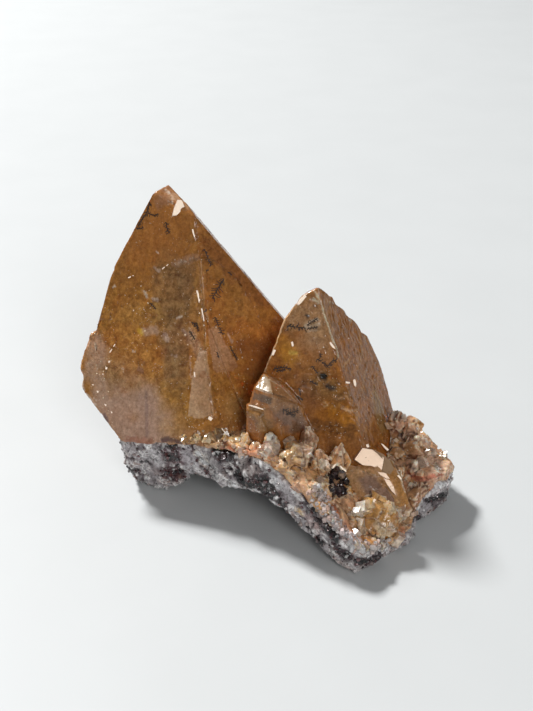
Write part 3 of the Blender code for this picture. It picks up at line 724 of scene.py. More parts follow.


# ---------------------------------------------------------------- the second crystal

# Strokes in the glint colour are painted highlights.
# a painted glow of light through the crystal above its foot, then a painted shadow along the foot
# pale edges, part worn frost and part painted highlight, and a painted highlight along the ridge
# the small step crystal: a pale top, partly a painted highlight, a dark band, and a bright line painted as a
# highlight
# veils, pits, and painted highlights where glints and glossy bumps shine
SECOND_STROKES = """
285,350 290,352; 3 .66,.34,.05 .6 c.3
300,312 318,318 320,330; 4.5 .62,.42,.28 .75
310,345 318,355; 4.5 pinkish .4 c.4 m.5
335,412 350,418; 3.6 .6,.27,.03 .75 c.5 m.8
312,425 352,431; 1.6 .2,.1,.04 .6 m1.5
376,395 382,425; 2.6 murky .75 c.4 m1.2
320,384 335,392; 3.2 murky .5 m1.4
305,385 312,400; 3 purple .35
268,374 276,379 297,402 308,424 296,432 272,412 262,395; 0 .34,.2,.12 .85 c.3
282,415 300,425; 2.2 purple .6
256,412 264,424; 2.6 murky .6 c.5
# white worn edges and ridge
303,293 286,316 278,336 273,350 266,365 264,371; .36 .84,.62,.42 .8 f.4 c.1
303,293 315,287 322,287 330,292; .3 .84,.62,.42 .7 f.4
314,290 320.5,301 324.5,315 328.5,326 333,340 336.5,349 338,357; .24 glint .95 f.6 l.12
313,299 318,302; .4 glint .9 f.8
# veils, glints and pits
305,326 311,321 318,319; .32 .8,.72,.66 .75 f.5
306,328 313,326 319,324; .36 .8,.72,.66 .75 f.5
308,331 316,330; .26 .8,.72,.66 .5 f.4
307,325 316,326; 1.3 .6,.48,.4 .45
306,315 308,316.5; .5 dark .9
291,352 295,353; .7 .86,.58,.16 .8
322,376.5 323.5,377; .85 .01,.008,.008 1 l-.8 c0 m0
329,377 337,377; .4 russet .9
328,386 333,388; .8 slate .7
324,402 327,405 324,407; .26 .86,.56,.32 .85 l.2
333,396 339,398 345,396 352,401; .34 .84,.5,.26 .75 l.3
342,408 350,411 357,409; .5 .86,.54,.34 .85 l.35
358,330 362,350 360,365; .4 .66,.42,.22 .5
364,335 366,362; .3 .66,.42,.22 .5
347,352 350,356 343,367; .3 .8,.54,.3 .7
365,372 362,390; .4 .66,.42,.22 .5
387,415 388,424; .4 pale .6 f.5
349,320 354,319; .4 glint .8 f.8
330,302 333,303; .33 glint .6 f.5
364,331 368,335; .4 pale .7 f.6
# the small step crystal: white top, dark band, bright line
264,374 270,379 272,394.5 254.5,388.5; 0 .36,.29,.24 1 f.1 c0 m.1
254,392 272,398 271,405 253,399; 0 .13,.085,.06 .85 c.3 m1
263,391 286,398; .3 dark .6
270,380 280,386 297,402; .35 pale .35 f.3
"""


def second_crystal():
    skin = crystal_skin("second_crystal", 1.0, 16, 0.5)
    tree = skin.tree()
    wear_crystal(skin, 31, 0.35)
    x, y, z = skin.home.T
    side = ease(skin.flat[:, 0], 0.15, 0.6)
    across = np.stack([x + y * 0.6, y, z * 0.06], 1)
    ribs = smooth_noise(across, 1.3, 41) * 0.6 + smooth_noise(across, 0.6, 42) * 0.4
    ledge = stairs(1.5 * (z * 0.22 + fractal(skin.home, 5.0, 43, 3)), 0.25)
    skin.push(side * (0.06 * ribs + 0.05 * ledge))
    tint, look = base_look(skin, (0.50, 0.21, 0.05), (0.54, 0.28, 0.11), 7.0, 6, (0.55, 0.03, 0.6))
    tint = mix(tint, (0.46, 0.20, 0.04), side * 0.6)
    tint = mix(tint, (0.25, 0.11, 0.03), side * ease(ribs, 0.1, 0.6) * 0.3)
    blobs = [Ink.pinkish, Ink.amber, Ink.murky, Ink.russet, Ink.pale]
    paint_unseen(skin, tint, look, blobs, 70, (1.2, 6.0), 1300)
    paint(skin, tree, tint, look, SECOND_STROKES, 400)
    frost_edges(skin, look, 0.8, 19, 0.45 * (1 - side))
    material = calcite("amber_calcite", (0.93, 0.60, 0.25), 240.0, (0.0, -0.2, 0.2))
    piece("second_crystal_body", skin, material, "second_crystal", "amber_calcite",
          gain=(1.02, 0.93, 0.74), tint=tint, look=look)
    return skin


# ---------------------------------------------------------------- the front crystals

# Strokes in the glint colour are painted highlights.
# a painted highlight along the bright curved strip
# a painted shadow band across the middle crystal
FRONT_STROKES = """
372,462 380,470 384,472; 1.3 .5,.3,.15 .8 c.1
381,457 388,462 384,472; 1.3 .36,.22,.13 .8
385,478 391,483 396,494; .5 .8,.55,.36 .8 c.2
366,447 380,454 392,461 399,474 405,492; .26 glint .85 f.9
392,475 402,492 406,506; 1.3 .62,.32,.08 .75
403,510 403,522; .9 grey .5
404,524 410,536 404,542; 1.5 .36,.15,.08 .8
327,474 335,467 344,471 348,482 347,493 339,499 331,492; 0 .03,.02,.022 1 c0 l-.7
# the middle crystal
346,468 360,478 372,476; 2.4 .7,.44,.21 .8 c.4
368,482 380,492 392,500; 2.2 purple .75 c.3
340,500 345,518; 1.8 pinkish .6
352,500 348,520; 1.2 purple .5
366,497 374,493; .33 glint .8 f.8
# the low yellow crystal
368,503 388,500 396,512 388,524 368,524; 0 .66,.38,.11 .8 c.4 m.9
357,510 362,514 358,522; .7 white .7 f.9
392,506 398,513 399,523; .5 white .9 f.8
365,531 372,538 376,544; 1.3 .62,.17,.04 .8
370,529 374,531; .5 dark .8
378,526 386,534 380,545; 1.3 .88,.66,.42 .8 f.4
364,526 372,534; .9 .75,.42,.12 .7
390,524 394,530; .5 white .6 f.7
"""


def front_crystals():
    skin = crystal_skin("front_crystals", 0.6, 10)
    tree = skin.tree()
    wear_crystal(skin, 51, 0.35)
    rough = stroke_share(skin, tree, "366,508 378,512 388,520 374,530 366,520", 4.0, 52)
    planes, lumps = facets(skin.home, 3.0, 53)[0], facets(skin.home, 1.2, 54)[0]
    skin.push(rough * (0.65 * planes + 0.12 * lumps + 0.3))
    tint, look = base_look(skin, (0.60, 0.33, 0.12), (0.66, 0.41, 0.19), 4.0, 8, (0.40, 0.1, 0.7))
    paint(skin, tree, tint, look, FRONT_STROKES, 500)
    # Darker hollows, as dirt and painted shade, and painted highlights on the ridges.
    skin.tint = paint_hollow_shade_and_ridge_highlight(skin, tint, (0.16, 0.08, 0.04), (0.98, 0.84, 0.68))
    frost_edges(skin, look, 0.6, 29, 0.7)
    material = calcite("front_calcite", (0.92, 0.62, 0.33), 260.0, (0.3, 0.0, 0.2))
    piece("front_crystals_body", skin, material, "front_crystals", "amber_calcite",
          gain=(1.03, 0.95, 0.93), tint=skin.tint, look=look)
    return skin


# ---------------------------------------------------------------- crust and matrix

def distance_to(p, tree, limit):
    """How far each point is from a surface, up to limit."""
    out = np.full(len(p), float(limit))
    for k, q in enumerate(p):
        found = tree.find_nearest(Vector(q), limit)
        if found[0] is not None:
            out[k] = found[3]
    return out


# Strokes in the glint colour are painted highlights.
# the bright block, its top painted in the glint colour as a highlight
# the pit with black crystals, and its white rim painted as a highlight
CRUST_STROKES = """
# pods and druse left of the blocks
203,437 214,442 222,444; 2.6 .36,.25,.15 .85 c.4
224,434 234,437 242,443; 2.2 .58,.4,.2 .8 c.4
219,438 230,447 239,451; .7 .18,.07,.04 .85
184,440 196,451 206,449 222,450 240,452; .9 red .8
248,452 262,450 268,458; 1.5 .52,.22,.13 .85
270,460 284,478 298,490; .9 red .7
239,438 240,439; .33 glint .9
243,443 245,443; .33 glint .9
257,440 260,445; .33 glint .9
224,428 226,430; .4 glint .9
210,417 216,420; .4 glint .7
230,440 238,441; .4 pale .7
165,440 176,441 184,446; 1.3 .06,.035,.045 .9 c0
# the bright block
264,440 275,441 276,453 266,454; 0 .55,.5,.47 .85 c.3
266,432 276,431 277,440 267,441; 0 glint 1 c0
276,436 288,446 281,452 277,446; 0 .62,.46,.3 .8 c.2
# smooth brown blocks
284,455 298,452 300,459; 3 .5,.36,.2 .85 c.4
300,434 306,448 313,456; 2.6 .36,.235,.17 .85 c.4
297,437 302,427; .4 pale .7
283,447 292,444 299,446; .4 pale .5
321,447 334,449; 2.2 .54,.39,.24 .85 c.4
338,436 344,450; 2.4 .42,.31,.23 .7 c.3
352,446 362,452; 2.2 .3,.18,.12 .8 c.3
312,462 313,463; .26 glint .9
319,463 320,465; .3 glint 1
301,467 305,470; .8 dark .9
290,461 300,463; .7 .14,.08,.05 .6
# orange brown slope down to the left edge
284,470 300,474 318,474; 2.8 .6,.37,.2 .85 c.3
296,484 310,486 322,496; 2.6 .62,.4,.27 .85 c.2
288,468 289,478; .4 pale .6
306,480 310,492 320,500; .4 pale .7
315,486 320,489; .8 white .9
283,478 286,484; .8 red .6
# the pit with black crystals and its white rim
325,487 330,476; .9 .5,.33,.18 .8
327,474 335,467 344,471 348,482 347,493 339,499 331,492; 0 .03,.02,.022 1 c0 l-.6
321,484 327,474 333,466 337,464; .33 glint .85
339,465 345,470; .26 glint .85
# hollow behind the front crystals
362,434 370,443; 1.5 .05,.03,.035 .9 c0
374,446 381,451; 1.1 .05,.03,.035 .9
374,436 378,437; .26 glint .9
384,430 392,440 396,452; 2.4 .34,.21,.1 .6 c.3
# right hand blocks and slope
392,412 400,418 398,430; 2.4 .25,.14,.1 .9 c.2
407,419 411,430; 1.8 .46,.31,.22 .8 c.2
400,437 414,434 424,441; 1.3 .42,.31,.26 .8
408,446 422,449 432,453; 2.2 .3,.18,.1 .8 c.2
414,463 430,461 446,467 438,474; 2.8 .66,.47,.38 .9 c.2
409,474 422,480 440,474; .9 .36,.12,.08 .8
411,466 415,470; .7 dark .9
412,463 416,462; .26 glint .9
416,446 426,449 436,453 443,458; .26 glint .6
436,466 438,472; .7 white .7
# skirt under the front crystals
334,505 337,515; .8 .4,.13,.07 .7
340,528 352,542; 2.2 .5,.4,.4 .8
346,524 356,540; 1.4 .5,.28,.22 .6
330,512 336,530 345,543 360,553; .5 1,.93,.98 .8
360,549 372,554 386,548; 1.2 .85,.76,.66 .9
386,549 396,541; .7 slate .8
398,536 408,533; 1.4 .4,.17,.1 .7
"""


def paint_hollow_shade_and_ridge_highlight(skin, tint, low, high):
    """Darker in the hollows, as dirt and painted shade, and a painted highlight on the ridges."""
    hollow = skin.hollows(2)
    tint = mix(tint, low, ease(hollow, 0.25, 1.5) * 0.85)
    return mix(tint, high, ease(-hollow, 0.8, 1.9) * 0.75 * ease(tint.mean(axis=1), 0.05, 0.12))


def crust(matrix_tree):
    bm = cad_bmesh("small_crystals")
    toward = Vector(TO_CAMERA)
    refine(bm, 1.1, lambda f: f.normal.z > -0.2)
    refine(bm, 0.6, lambda f: f.normal.dot(toward) > 0.1)
    skin = Skin(bm)
    tree = skin.tree()
    home = skin.home
    skin.soften_edges(2, 1)
    height, _, _, number = facets(home, 3.4, 63)
    fine, _, _, fine_number = facets(home, 1.5, 66)
    chips = ease(fractal(home, 1.6, 62, 3), 0.1, 0.7) * skin.wear
    skin.push(np.clip(0.50 * height + 0.15 * fine + 0.1, -0.55, 0.7) * (1 - skin.wear) - 0.15 * chips)
    tint, look = base_look(skin, (0.44, 0.27, 0.155), Ink.pinkish, 6.0, 65, (0.25, 0.2, 0.8))
    tint = mix(tint, Ink.amber, ease(number, 0.3, 0.25) * 0.45)
    tint = mix(tint, (0.26, 0.16, 0.11), ease(number, 0.8, 0.85) * 0.6)
    joint = 1 - ease(distance_to(home, matrix_tree, 3.0), 0.3, 1.8)
    tint = mix(tint, Ink.red, joint * ease(fractal(home, 2.2, 64, 4), -0.2, 0.35) * 0.6)
    tint *= (0.72 + 0.56 * hashed(np.floor(fine_number[:, None] * 999 + (0, 1, 2)), 67))[:, None]
    paint(skin, tree, tint, look, CRUST_STROKES, 600)
    tint = np.clip(tint * 1.6 - 0.02, 0.01, 1)
    # Darker hollows, as dirt and painted shade, and painted highlights on the ridges.
    skin.tint = paint_hollow_shade_and_ridge_highlight(skin, tint, (0.10, 0.045, 0.028), (1.0, 0.88, 0.74))
    material = crust_calcite()
    piece("crust", skin, material, "small_crystals", "brown_calcite",
          gain=(1.10, 1.03, 0.94), tint=skin.tint, look=look)
    return skin, material


MATRIX_STROKES = """
# left foot: grey quartz round a dark granular patch
152,452 158,464; 3 .5,.485,.49 .9 l.3 m.3
168,456 182,458; 1.8 .1,.05,.055 .9 m1.4
163,446 183,449; 1 .09,.045,.05 .9
160,470 170,474 178,470; 2.6 .12,.09,.09 .85 m1.4 f.7
186,450 192,462 190,470; 2 .42,.4,.41 .9 l.25 m.3
160,480 172,484 182,480; .7 .62,.56,.55 .8
# the white patch and the nodules over the arch
199,453 206,455 204,462; 1.5 .86,.78,.7 1 f1
195,466 205,474; 1.5 .66,.64,.64 .8 f.8
209,456 216,464; 2.2 .3,.285,.285 .9 l.35 m.3
226,456 232,462; 2 .13,.115,.115 .9 l.35 m.4
230,462 235,467; .7 white .7 f1
212,472 224,478 236,484; 1.5 .7,.68,.67 .8 f1
243,460 248,470; 2 .33,.3,.29 .9 l.35 m.3
236,474 239,480; 1 dark .8
241,480 250,484; 1.2 .1,.08,.08 .9 l.2
239,478 249,477 252,483; .4 .01,.008,.01 .95 l-.35
252,476 262,478; 1.2 .12,.09,.09 .7
255,466 262,471; 1.6 .34,.3,.29 .8 l.2
256,484 262,480; .4 .01,.008,.01 .9 l-.3
257,458 262,461; 1.4 .5,.48,.48 .8 f1 l.3
267,464 275,470; 2 .27,.25,.25 .9 f.9 l.3
264,478 274,482; 1.8 .11,.1,.105 .9 l.2
262,489 273,492; 1.1 .03,.022,.026 .9
275,478 281,486; 1.2 .8,.8,.82 .9 f1
# right side of the arch, down to the tip
285,490 296,500; 2.3 .4,.38,.385 .9 l.2 m.4
306,499 314,507; 1.9 .12,.11,.115 .9 l.35 m.3
298,509 302,513; .9 .5,.36,.2 .9
320,503 326,510; 1.1 .84,.82,.8 .9 f1
318,512 328,530 338,545 346,556; 1.7 .05,.036,.04 .75 m1.4
308,516 318,532; 1.2 .42,.34,.33 .8 f.8
332,556 346,566 354,571; 1.3 .52,.45,.43 .9 f.8
360,562 370,560 380,556; 1.4 .05,.036,.04 .9
384,552 396,544; .8 .6,.57,.57 .8 f.9
# bright rim along the edge of the arch
199,474 214,482 228,487 243,489 256,491 268,497 279,506 288,513; .5 .85,.83,.82 .85 f1
# right hand end
413,484 424,488 438,486; 2.4 .66,.61,.61 .9 l.2 f.5
444,482 450,476; 1.4 .6,.54,.55 .9 f.6
428,500 436,497 446,494; 1.3 .045,.03,.035 .95
414,503 424,508; 1.8 .36,.34,.35 .9 f.4 l.2
413,514 418,518; 1 .03,.02,.025 .95
"""


def voxel_skin(node, size):
    """A node's surface rebuilt with even small faces."""
    bm = cad_bmesh(node)
    mesh = bpy.data.meshes.new("scratch")
    bm.to_mesh(mesh)
    bm.free()
    ob = add_object("scratch", mesh)
    change = ob.modifiers.new("even", "REMESH")
    change.mode = "VOXEL"
    change.voxel_size = size
    made = ob.evaluated_get(bpy.context.evaluated_depsgraph_get()).to_mesh()
    bm = bmesh.new()
    bm.from_mesh(made)
    bpy.data.objects.remove(ob)
    bmesh.ops.triangulate(bm, faces=bm.faces)
    return Skin(bm)


def matrix():
    skin = voxel_skin("matrix", 0.46)
    tree = skin.tree()
    home, height = skin.home, skin.home[:, 2]
    knob, first, second, number = facets(home, 5.0, 71)
    fine, fine_first, _, fine_number = facets(home, 1.4, 75)
    rough = ease(fractal(home, 6, 74, 3), -0.15, 0.3)
    bulge = 0.75 * (0.7 - first) + 0.12 * knob
    grain = 0.30 * (0.7 - fine_first) + 0.35 * fine
    skin.push(ease(height, 0.25, 1.2) * (bulge + (0.15 + 0.85 * rough) * grain))
    tint, look = base_look(skin, Ink.grey, (0.50, 0.48, 0.485), 6.0, 77, (0.0, 0.45, 1.0))
    tint = mix(tint, Ink.slate, ease(number, 0.62, 0.66) * 0.7)
    tint = mix(tint, (0.34, 0.24, 0.20), ease(fine_number, 0.86, 0.88) * 0.6)
    tint = mix(tint, Ink.white, ease(fine_number, 0.14, 0.12) * 0.7)
    granular = ease(fractal(home, 5, 72, 4), 0.16, 0.34)
    tint = mix(tint, (0.075, 0.05, 0.055), granular * 0.9)
    rim = (1 - ease(height, 2.0, 5.0)) * ease(fractal(home, 3, 73, 3), -0.2, 0.3)
    tint = mix(tint, (0.66, 0.63, 0.62), rim * ease(-skin.flat[:, 2], -0.3, 0.3) * 0.6)
    crease = ease(second - first, 0.12, 0.0) * (1 - granular)
    tint = mix(tint, (0.09, 0.07, 0.075), crease * 0.6)
    paint(skin, tree, tint, look, MATRIX_STROKES, 700)
    tint = np.clip(0.31 + 1.6 * (tint - 0.30), 0.012, 0.95)
    # Darker hollows, as dirt and painted shade, and painted highlights on the ridges.
    skin.tint = paint_hollow_shade_and_ridge_highlight(skin, tint, (0.03, 0.02, 0.022), (0.9, 0.88, 0.86))
    piece("matrix_rock", skin, matrix_rock(), "matrix", "grey_matrix", gain=0.95, tint=skin.tint, look=look)
    return skin


# ---------------------------------------------------------------- small crystals and grains

def rhomb(flat):
    """Corners and faces of a rhombohedron standing on one corner, its height flat times its width."""
    angles = np.radians(np.arange(6) * 60)
    ring = [(math.cos(a), math.sin(a), -0.33 * flat if k % 2 else 0.33 * flat) for k, a in enumerate(angles)]
    faces = []
    for k in range(0, 6, 2):
        a, b, c, d = 1 + k, 1 + (k + 1) % 6, 1 + (k + 2) % 6, 1 + (k + 5) % 6
        faces += [(7, a, b), (7, b, c), (0, b, a), (0, a, d)]
    return np.array([(0, 0, -flat)] + ring + [(0, 0, flat)], float), np.array(faces)


def column(sides, tall, point):
    """Corners and faces of a prism with a pointed top."""
    angles = np.radians(np.arange(sides) * 360 / sides)
    foot = [(math.cos(a), math.sin(a), -0.8) for a in angles]
    top = [(math.cos(a) * 0.94, math.sin(a) * 0.94, tall) for a in angles]
    corners = foot + top + [(0, 0, tall + point), (0, 0, -0.8)]
    faces = []
    for k in range(sides):
        j = (k + 1) % sides
        faces += [(k, j, sides + j), (k, sides + j, sides + k)]
        faces += [(sides + k, sides + j, 2 * sides), (j, k, 2 * sides + 1)]
    return np.array(corners, float), np.array(faces)


# Kinds of small crystal: rhombohedron, flat rhombohedron, tooth, prism and stub.
SHAPES = dict(zip("rftps", (rhomb(1.0), rhomb(0.7), column(6, 0.5, 1.5), column(6, 0.9, 0.8), column(5, 0.35, 0.4))))


def scatter(name, skin, chance, count, sizes, kinds, lean, sink, seed, colours, own, material, slot,
            clear=0.2, tones_apart=0.9):
    """Many small crystals grown on a skin, as one mesh. chance is each point's share of them.

    Their colours are a draw from colours, and by the share own the ground's. Their faces are separate and differ at
    random in tone, a painted stand-in for the reflections that make clear crystals' faces differ.
    """
    rng = np.random.default_rng(seed)
    a, b, c, outward, area = triangles(skin)
    weight = area * chance[skin.faces].mean(axis=1)
    ground = skin.tint[skin.faces].mean(axis=1)
    colours = np.array(pairs(colours))
    points, tints, looks = [], [], []
    for f in rng.choice(len(area), count, p=weight / weight.sum()):
        u, v = sorted(rng.random(2))
        place = a[f] * u + b[f] * (v - u) + c[f] * (1 - v)
        up = Vector(outward[f] + lean * rng.normal(size=3))
        turn = up.to_track_quat("Z", "Y").to_matrix() @ Matrix.Rotation(rng.random() * 6.3, 3, "Z")
        size = sizes[0] * (sizes[1] / sizes[0]) ** (rng.random() ** 1.8)
        corners, ways = SHAPES[kinds[rng.integers(len(kinds))]]
        shape = corners * size * 0.5 * (0.8 + 0.4 * rng.random(3))
        at = place + outward[f] * size * (0.2 - sink)
        points.append((shape @ np.array(turn).T + at)[ways].reshape(-1, 3))
        tint = colours[rng.integers(len(colours))] * (1 - own) + ground[f] * own
        tint = tint * (0.75 + 0.5 * rng.random())
        # A random tone to each face: painted reflection.
        tones = 1 + tones_apart * (rng.random(len(ways) // 2) - 0.5)
        tints.append(np.repeat(tones, 6)[:, None] * tint)
        looks.append(np.tile((clear, 0.2, 0.8), (ways.size, 1)))
    points = np.concatenate(points)
    made = Bare(points, np.arange(len(points)).reshape(-1, 3))
    piece(name, made, material, None, slot, False, tint=np.concatenate(tints), look=np.concatenate(looks))


def black_crystals(name, skin, chance, count, sizes, sink, seed, third):
    """Scatters hematite in two near blacks and a third colour."""
    scatter(name, skin, chance, count, sizes, "rfs", 0.9, sink, seed, ".03,.024,.026 .07,.035,.04 " + third, 0.0,
            black_grain(), "grey_matrix", 0.0)


# Tiny pale flakes standing in for glints: painted highlights, whose flat faces also mirror the lamps.
def sparkles(name, skin, chance, count, sizes, sink, seed, material, slot, clear=0.1):
    scatter(name, skin, chance, count, sizes, "rf", 1.2, sink, seed, "1,.86,.62 .92,.72,.48", 0.0,
            material, slot, clear)


# Pale tints painted on the faces as highlights, on top of the front lamp's real reflection in them.
HIGHLIGHT_TINT = (0.76, 0.54, 0.40)
CHIP_HIGHLIGHT_TINT = (0.86, 0.74, 0.62)
CHIP_DEPTH = 1.0
STAND_OUT = 0.02  # share of its depth by which a face stands out of the surface
FLARE = 1.1  # width of a block's foot over that of its face
# Flat bright faces: ring of pixels, how far the face turns right and up, colour, depth.
BLOCK_FACES = [
    ("354.7,459.4 362.6,448 375,450.3 384,458 381.9,469.6 371.7,466 362.6,465", (0, 0), HIGHLIGHT_TINT, 5.0),
    ("375,450.3 383,454 390,460.5 394,469 390,474.5 382.5,471 384,458", (0.5, 0.1), (0.42, 0.27, 0.16), 5.0),
    ("377.4,471.8 385.3,473 389.8,478.6 386.4,478.6 380.7,475.2", (0, 0), HIGHLIGHT_TINT, 5.0),
    ("384,478.5 389.8,480.3 393.6,486.5 395.8,495 391.6,491 387,484.3", (0.02, 0.02), HIGHLIGHT_TINT, 5.0),
]
# Small chips and worn spots that shine, mirroring the front lamp and tinted pale as painted highlights: rings of
# pixels.
CHIPS = """
178,200 182,200.6 184.5,206.5 180.3,211.7 176.7,215.3 173,215.3 174.5,208
190,207 192,208 194.5,211.5 195.5,215.5 193.5,214.5 191.5,211.5
191.8,229.5 193.2,229 195,236.5 194.2,238
196.2,290.5 197.8,290.5 200.2,300 199,303 198.2,299
201,308.5 202.3,308.5 204.6,321 203.6,321
162,268.6 164.4,266.6 165,267.2 162.6,269.4
166.3,265.4 168.2,264 168.4,264.8 166.8,266
128,277.4 130.6,276.1 131,277.2 128.5,278.4
131.9,275.8 133.5,275.1 133.9,276.1
193.8,372 195,372 195.4,377 194.2,377
108.3,360.5 110,360.8 110.2,362.3 108.5,362.5
105.5,367 107.5,367.3 107,369.5 105.3,369
102,373.5 103.6,373.8 103.2,375.4
91.8,384 93.6,384.3 93.4,386
96.7,390.6 98.6,390.9 98.3,392.8 96.9,392.4
104,403.8 106.4,404.6 106,406.6
110.5,410.8 112.6,412.4 111.6,413.6
109.5,352.2 111.6,348.8 112.2,349.4 110,352.8
113.2,346.4 114.9,343.8 115.4,344.3 113.9,346.9
209,416 213,418 211,421 208,419
221,428 226,430 224,432
297.5,304 300,299 305,294 306.5,296.5 302,302 299,305
273.5,349.5 276,350 273.5,355.5 271.5,355
329.5,342.5 331,342 334,346 335.5,349 333,348 330.5,345
353.2,380 355,379 356.3,383 356,387 354,385
345.5,381.5 350,382 349.5,383.6 346,383.3
291,342 293,341.5 293.8,346 292,346.5
250,404.8 256,406.2 263.5,408.9 263.3,409.7 257,408.3 250,406
371.5,502 374.5,498.8 376.3,499.8 373.5,503.5
366,506 367.6,505.5 369,509 367,509.5
339,466 341,465.8 346.6,471.2 345.8,472 342,469
331.5,468.5 334,464.5 336,464 334,468
381,443.5 383.5,444.5 388.8,449.5 387.5,451 384.5,448
366,444.5 368.5,444 369.5,447 367,447.5
397,475.5 399,475 402,479 400.5,479.5
""".strip().splitlines()


def block_faces(trees):
    """Flat glassy faces that mirror the front lamp, each the top of a block set into what is there, most tinted pale
    as a painted highlight.
    """
    lamp_at = np.array(Vector(FRONT_FROM).normalized()) * FRONT_AWAY * 1000
    points, faces, tints = [], [], []
    for text, (right, rise), tint, deep in BLOCK_FACES + [(text, (0, 0), CHIP_HIGHLIGHT_TINT, CHIP_DEPTH) for text in CHIPS]:
        ways = [np.array(sight(*q)) for q in pairs(text)]
        hits = [[found[0] for tree in trees for found in [seen_at(tree, *q)] if found] for q in pairs(text)]
        hits = [min(found, key=lambda at: np.linalg.norm(at - CAMERA_AT)) for found in hits if found]
        if len(hits) < len(ways):
            continue
        middle = np.mean(hits, axis=0)
        half = sum((at - middle) / np.linalg.norm(at - middle) for at in (CAMERA_AT, lamp_at)) / 2
        out = half + (right, 0, rise)
        out /= np.linalg.norm(out)
        level = max(hit @ out for hit in hits) + deep * STAND_OUT
        top = np.array([CAMERA_AT + way * (level - CAMERA_AT @ out) / (way @ out) for way in ways])
        foot = top.mean(0) + (top - top.mean(0)) * FLARE - out * deep
        k, n = len(points), len(top)
        points += list(top) + list(foot) + [top.mean(0), foot.mean(0)]
        for j in range(n):
            i = (j + 1) % n
            faces += [(k + j, k + i, k + 2 * n), (k + n + i, k + n + j, k + 2 * n + 1)]
            faces += [(k + i, k + j, k + n + j), (k + i, k + n + j, k + n + i)]
        tints += [tint] * (2 * n + 2)
    made = Bare(np.array(points), np.array(faces))
    piece("front_faces", made, bright_calcite(), None, "amber_calcite", False, tint=np.array(tints))


def bright_calcite():
    """Calcite broken clean: smooth, with a few pits; the pale tints it carries are painted highlights."""
    m = Nodes("bright_calcite")
    tint, haze = m.painted(), m.noise(1.6, 4, 0.6)
    pit = m.span(m.noise(0.8, 2, 0.5), 0.33, 0.27)
    tone = m.blend(haze, m.times(tint, (0.8, 0.78, 0.76)), m.times(tint, (1.12, 1.12, 1.12)))
    m.set(Base_Color=m.blend(pit, tone, (0.30, 0.15, 0.08)), Roughness=m.span(haze, 0.3, 0.7, 0.12, 0.24))
    m.set(IOR=1.62, Specular_Tint=(1.0, 0.80, 0.62), Normal=m.bump(m.noise(1.2, 3, 0.5), 0.01, 0.6))
    return m.mat


# ---------------------------------------------------------------- flaws inside the crystals

CLEAVAGE = [Vector(way) for way in pairs(".72,-.52,.46 -.68,-.6,.42 .05,.8,.6 .3,-.9,.3")]
FLAW_TINTS = np.array(pairs(".8,.62,.42 .62,.36,.12 .42,.24,.1 .9,.82,.72"))
# Least width and depth of a flaw, and the room between its middle and the nearest face.
LEAST_FLAW, FLAW_ROOM = 0.4, 0.3


def inside(tree, place):
    """Whether a place is inside a closed skin: the first face met in every direction faces away."""
    for way in map(Vector, pairs("0,0,1 .9,.1,-.4 -.8,.6,0 -.2,-1,.1")):
        hit = tree.ray_cast(place, way)
        if hit[0] is None or hit[1].dot(way) < 0:
            return False
    return True


def flaws(name, skin, tree, count, largest, deepest, seed):
    """Small cracks and veils under the faces of a crystal, lying along its cleavage, as one mesh."""
    rng = np.random.default_rng(seed)
    a, _, _, outward, area = triangles(skin)
    weight = area * (0.25 + np.clip(outward @ np.array((0, -1, 0.2)), 0, 1))
    points, faces, tints = [], [], []
    for f in rng.choice(len(area), count, p=weight / weight.sum()):
        at = a[f] - outward[f] * rng.uniform(LEAST_FLAW, deepest)
        near = tree.find_nearest(Vector(at))
        size = LEAST_FLAW * (largest / LEAST_FLAW) ** (rng.random() ** 1.6)
        if near[3] < FLAW_ROOM + size * 0.4 or not inside(tree, Vector(at)):
            continue
        way = CLEAVAGE[rng.integers(4)] + Vector(rng.normal(size=3)) * 0.12
        turn = way.to_track_quat("Z", "Y").to_matrix() @ Matrix.Rotation(rng.random() * 6.3, 3, "Z")
        sides = rng.integers(5, 8)
        angles = np.sort(rng.random(sides)) * 6.28
        reach = size * 0.5 * rng.uniform(0.4, 1.0, sides)
        narrow, bend = rng.uniform(0.25, 0.8), rng.normal(size=sides) * size * 0.03
        ring = np.stack([np.cos(angles) * reach, np.sin(angles) * reach * narrow, bend], 1)
        k = len(points)
        points += [at] + list(ring @ np.array(turn).T + at)
        faces += [(k, k + 1 + j, k + 1 + (j + 1) % sides) for j in range(sides)]
        tints += [FLAW_TINTS[rng.integers(4)] * rng.uniform(0.7, 1.2)] * (sides + 1)
    made = Bare(np.array(points), np.array(faces))
    piece(name, made, flaw_material(), None, "honey_calcite", False, tint=np.array(tints))


def flaw_material():
    m = Nodes("healed_crack")
    tint = m.painted()
    m.set(Base_Color=m.blend(m.noise(0.6, 3, 0.6), m.times(tint, (0.6, 0.55, 0.5)), tint), IOR=1.7)
    m.set(Roughness=m.span(m.noise(0.8, 2, 0.5), 0.3, 0.7, 0.1, 0.35))
    return m.mat


# ---------------------------------------------------------------- markings

# Steps and widths of a marking's spine and twigs in pixels. A ribbon's height over the face, and its greatest length:
# a longer one would bridge an edge.
SPINE_STEP, SPINE_WIDTH = 1.2, 0.95
TWIG_STEP, TWIG_WIDTH = 0.95, 0.75
RIBBON_LIFT, RIBBON_LONGEST = 0.035, 2.5


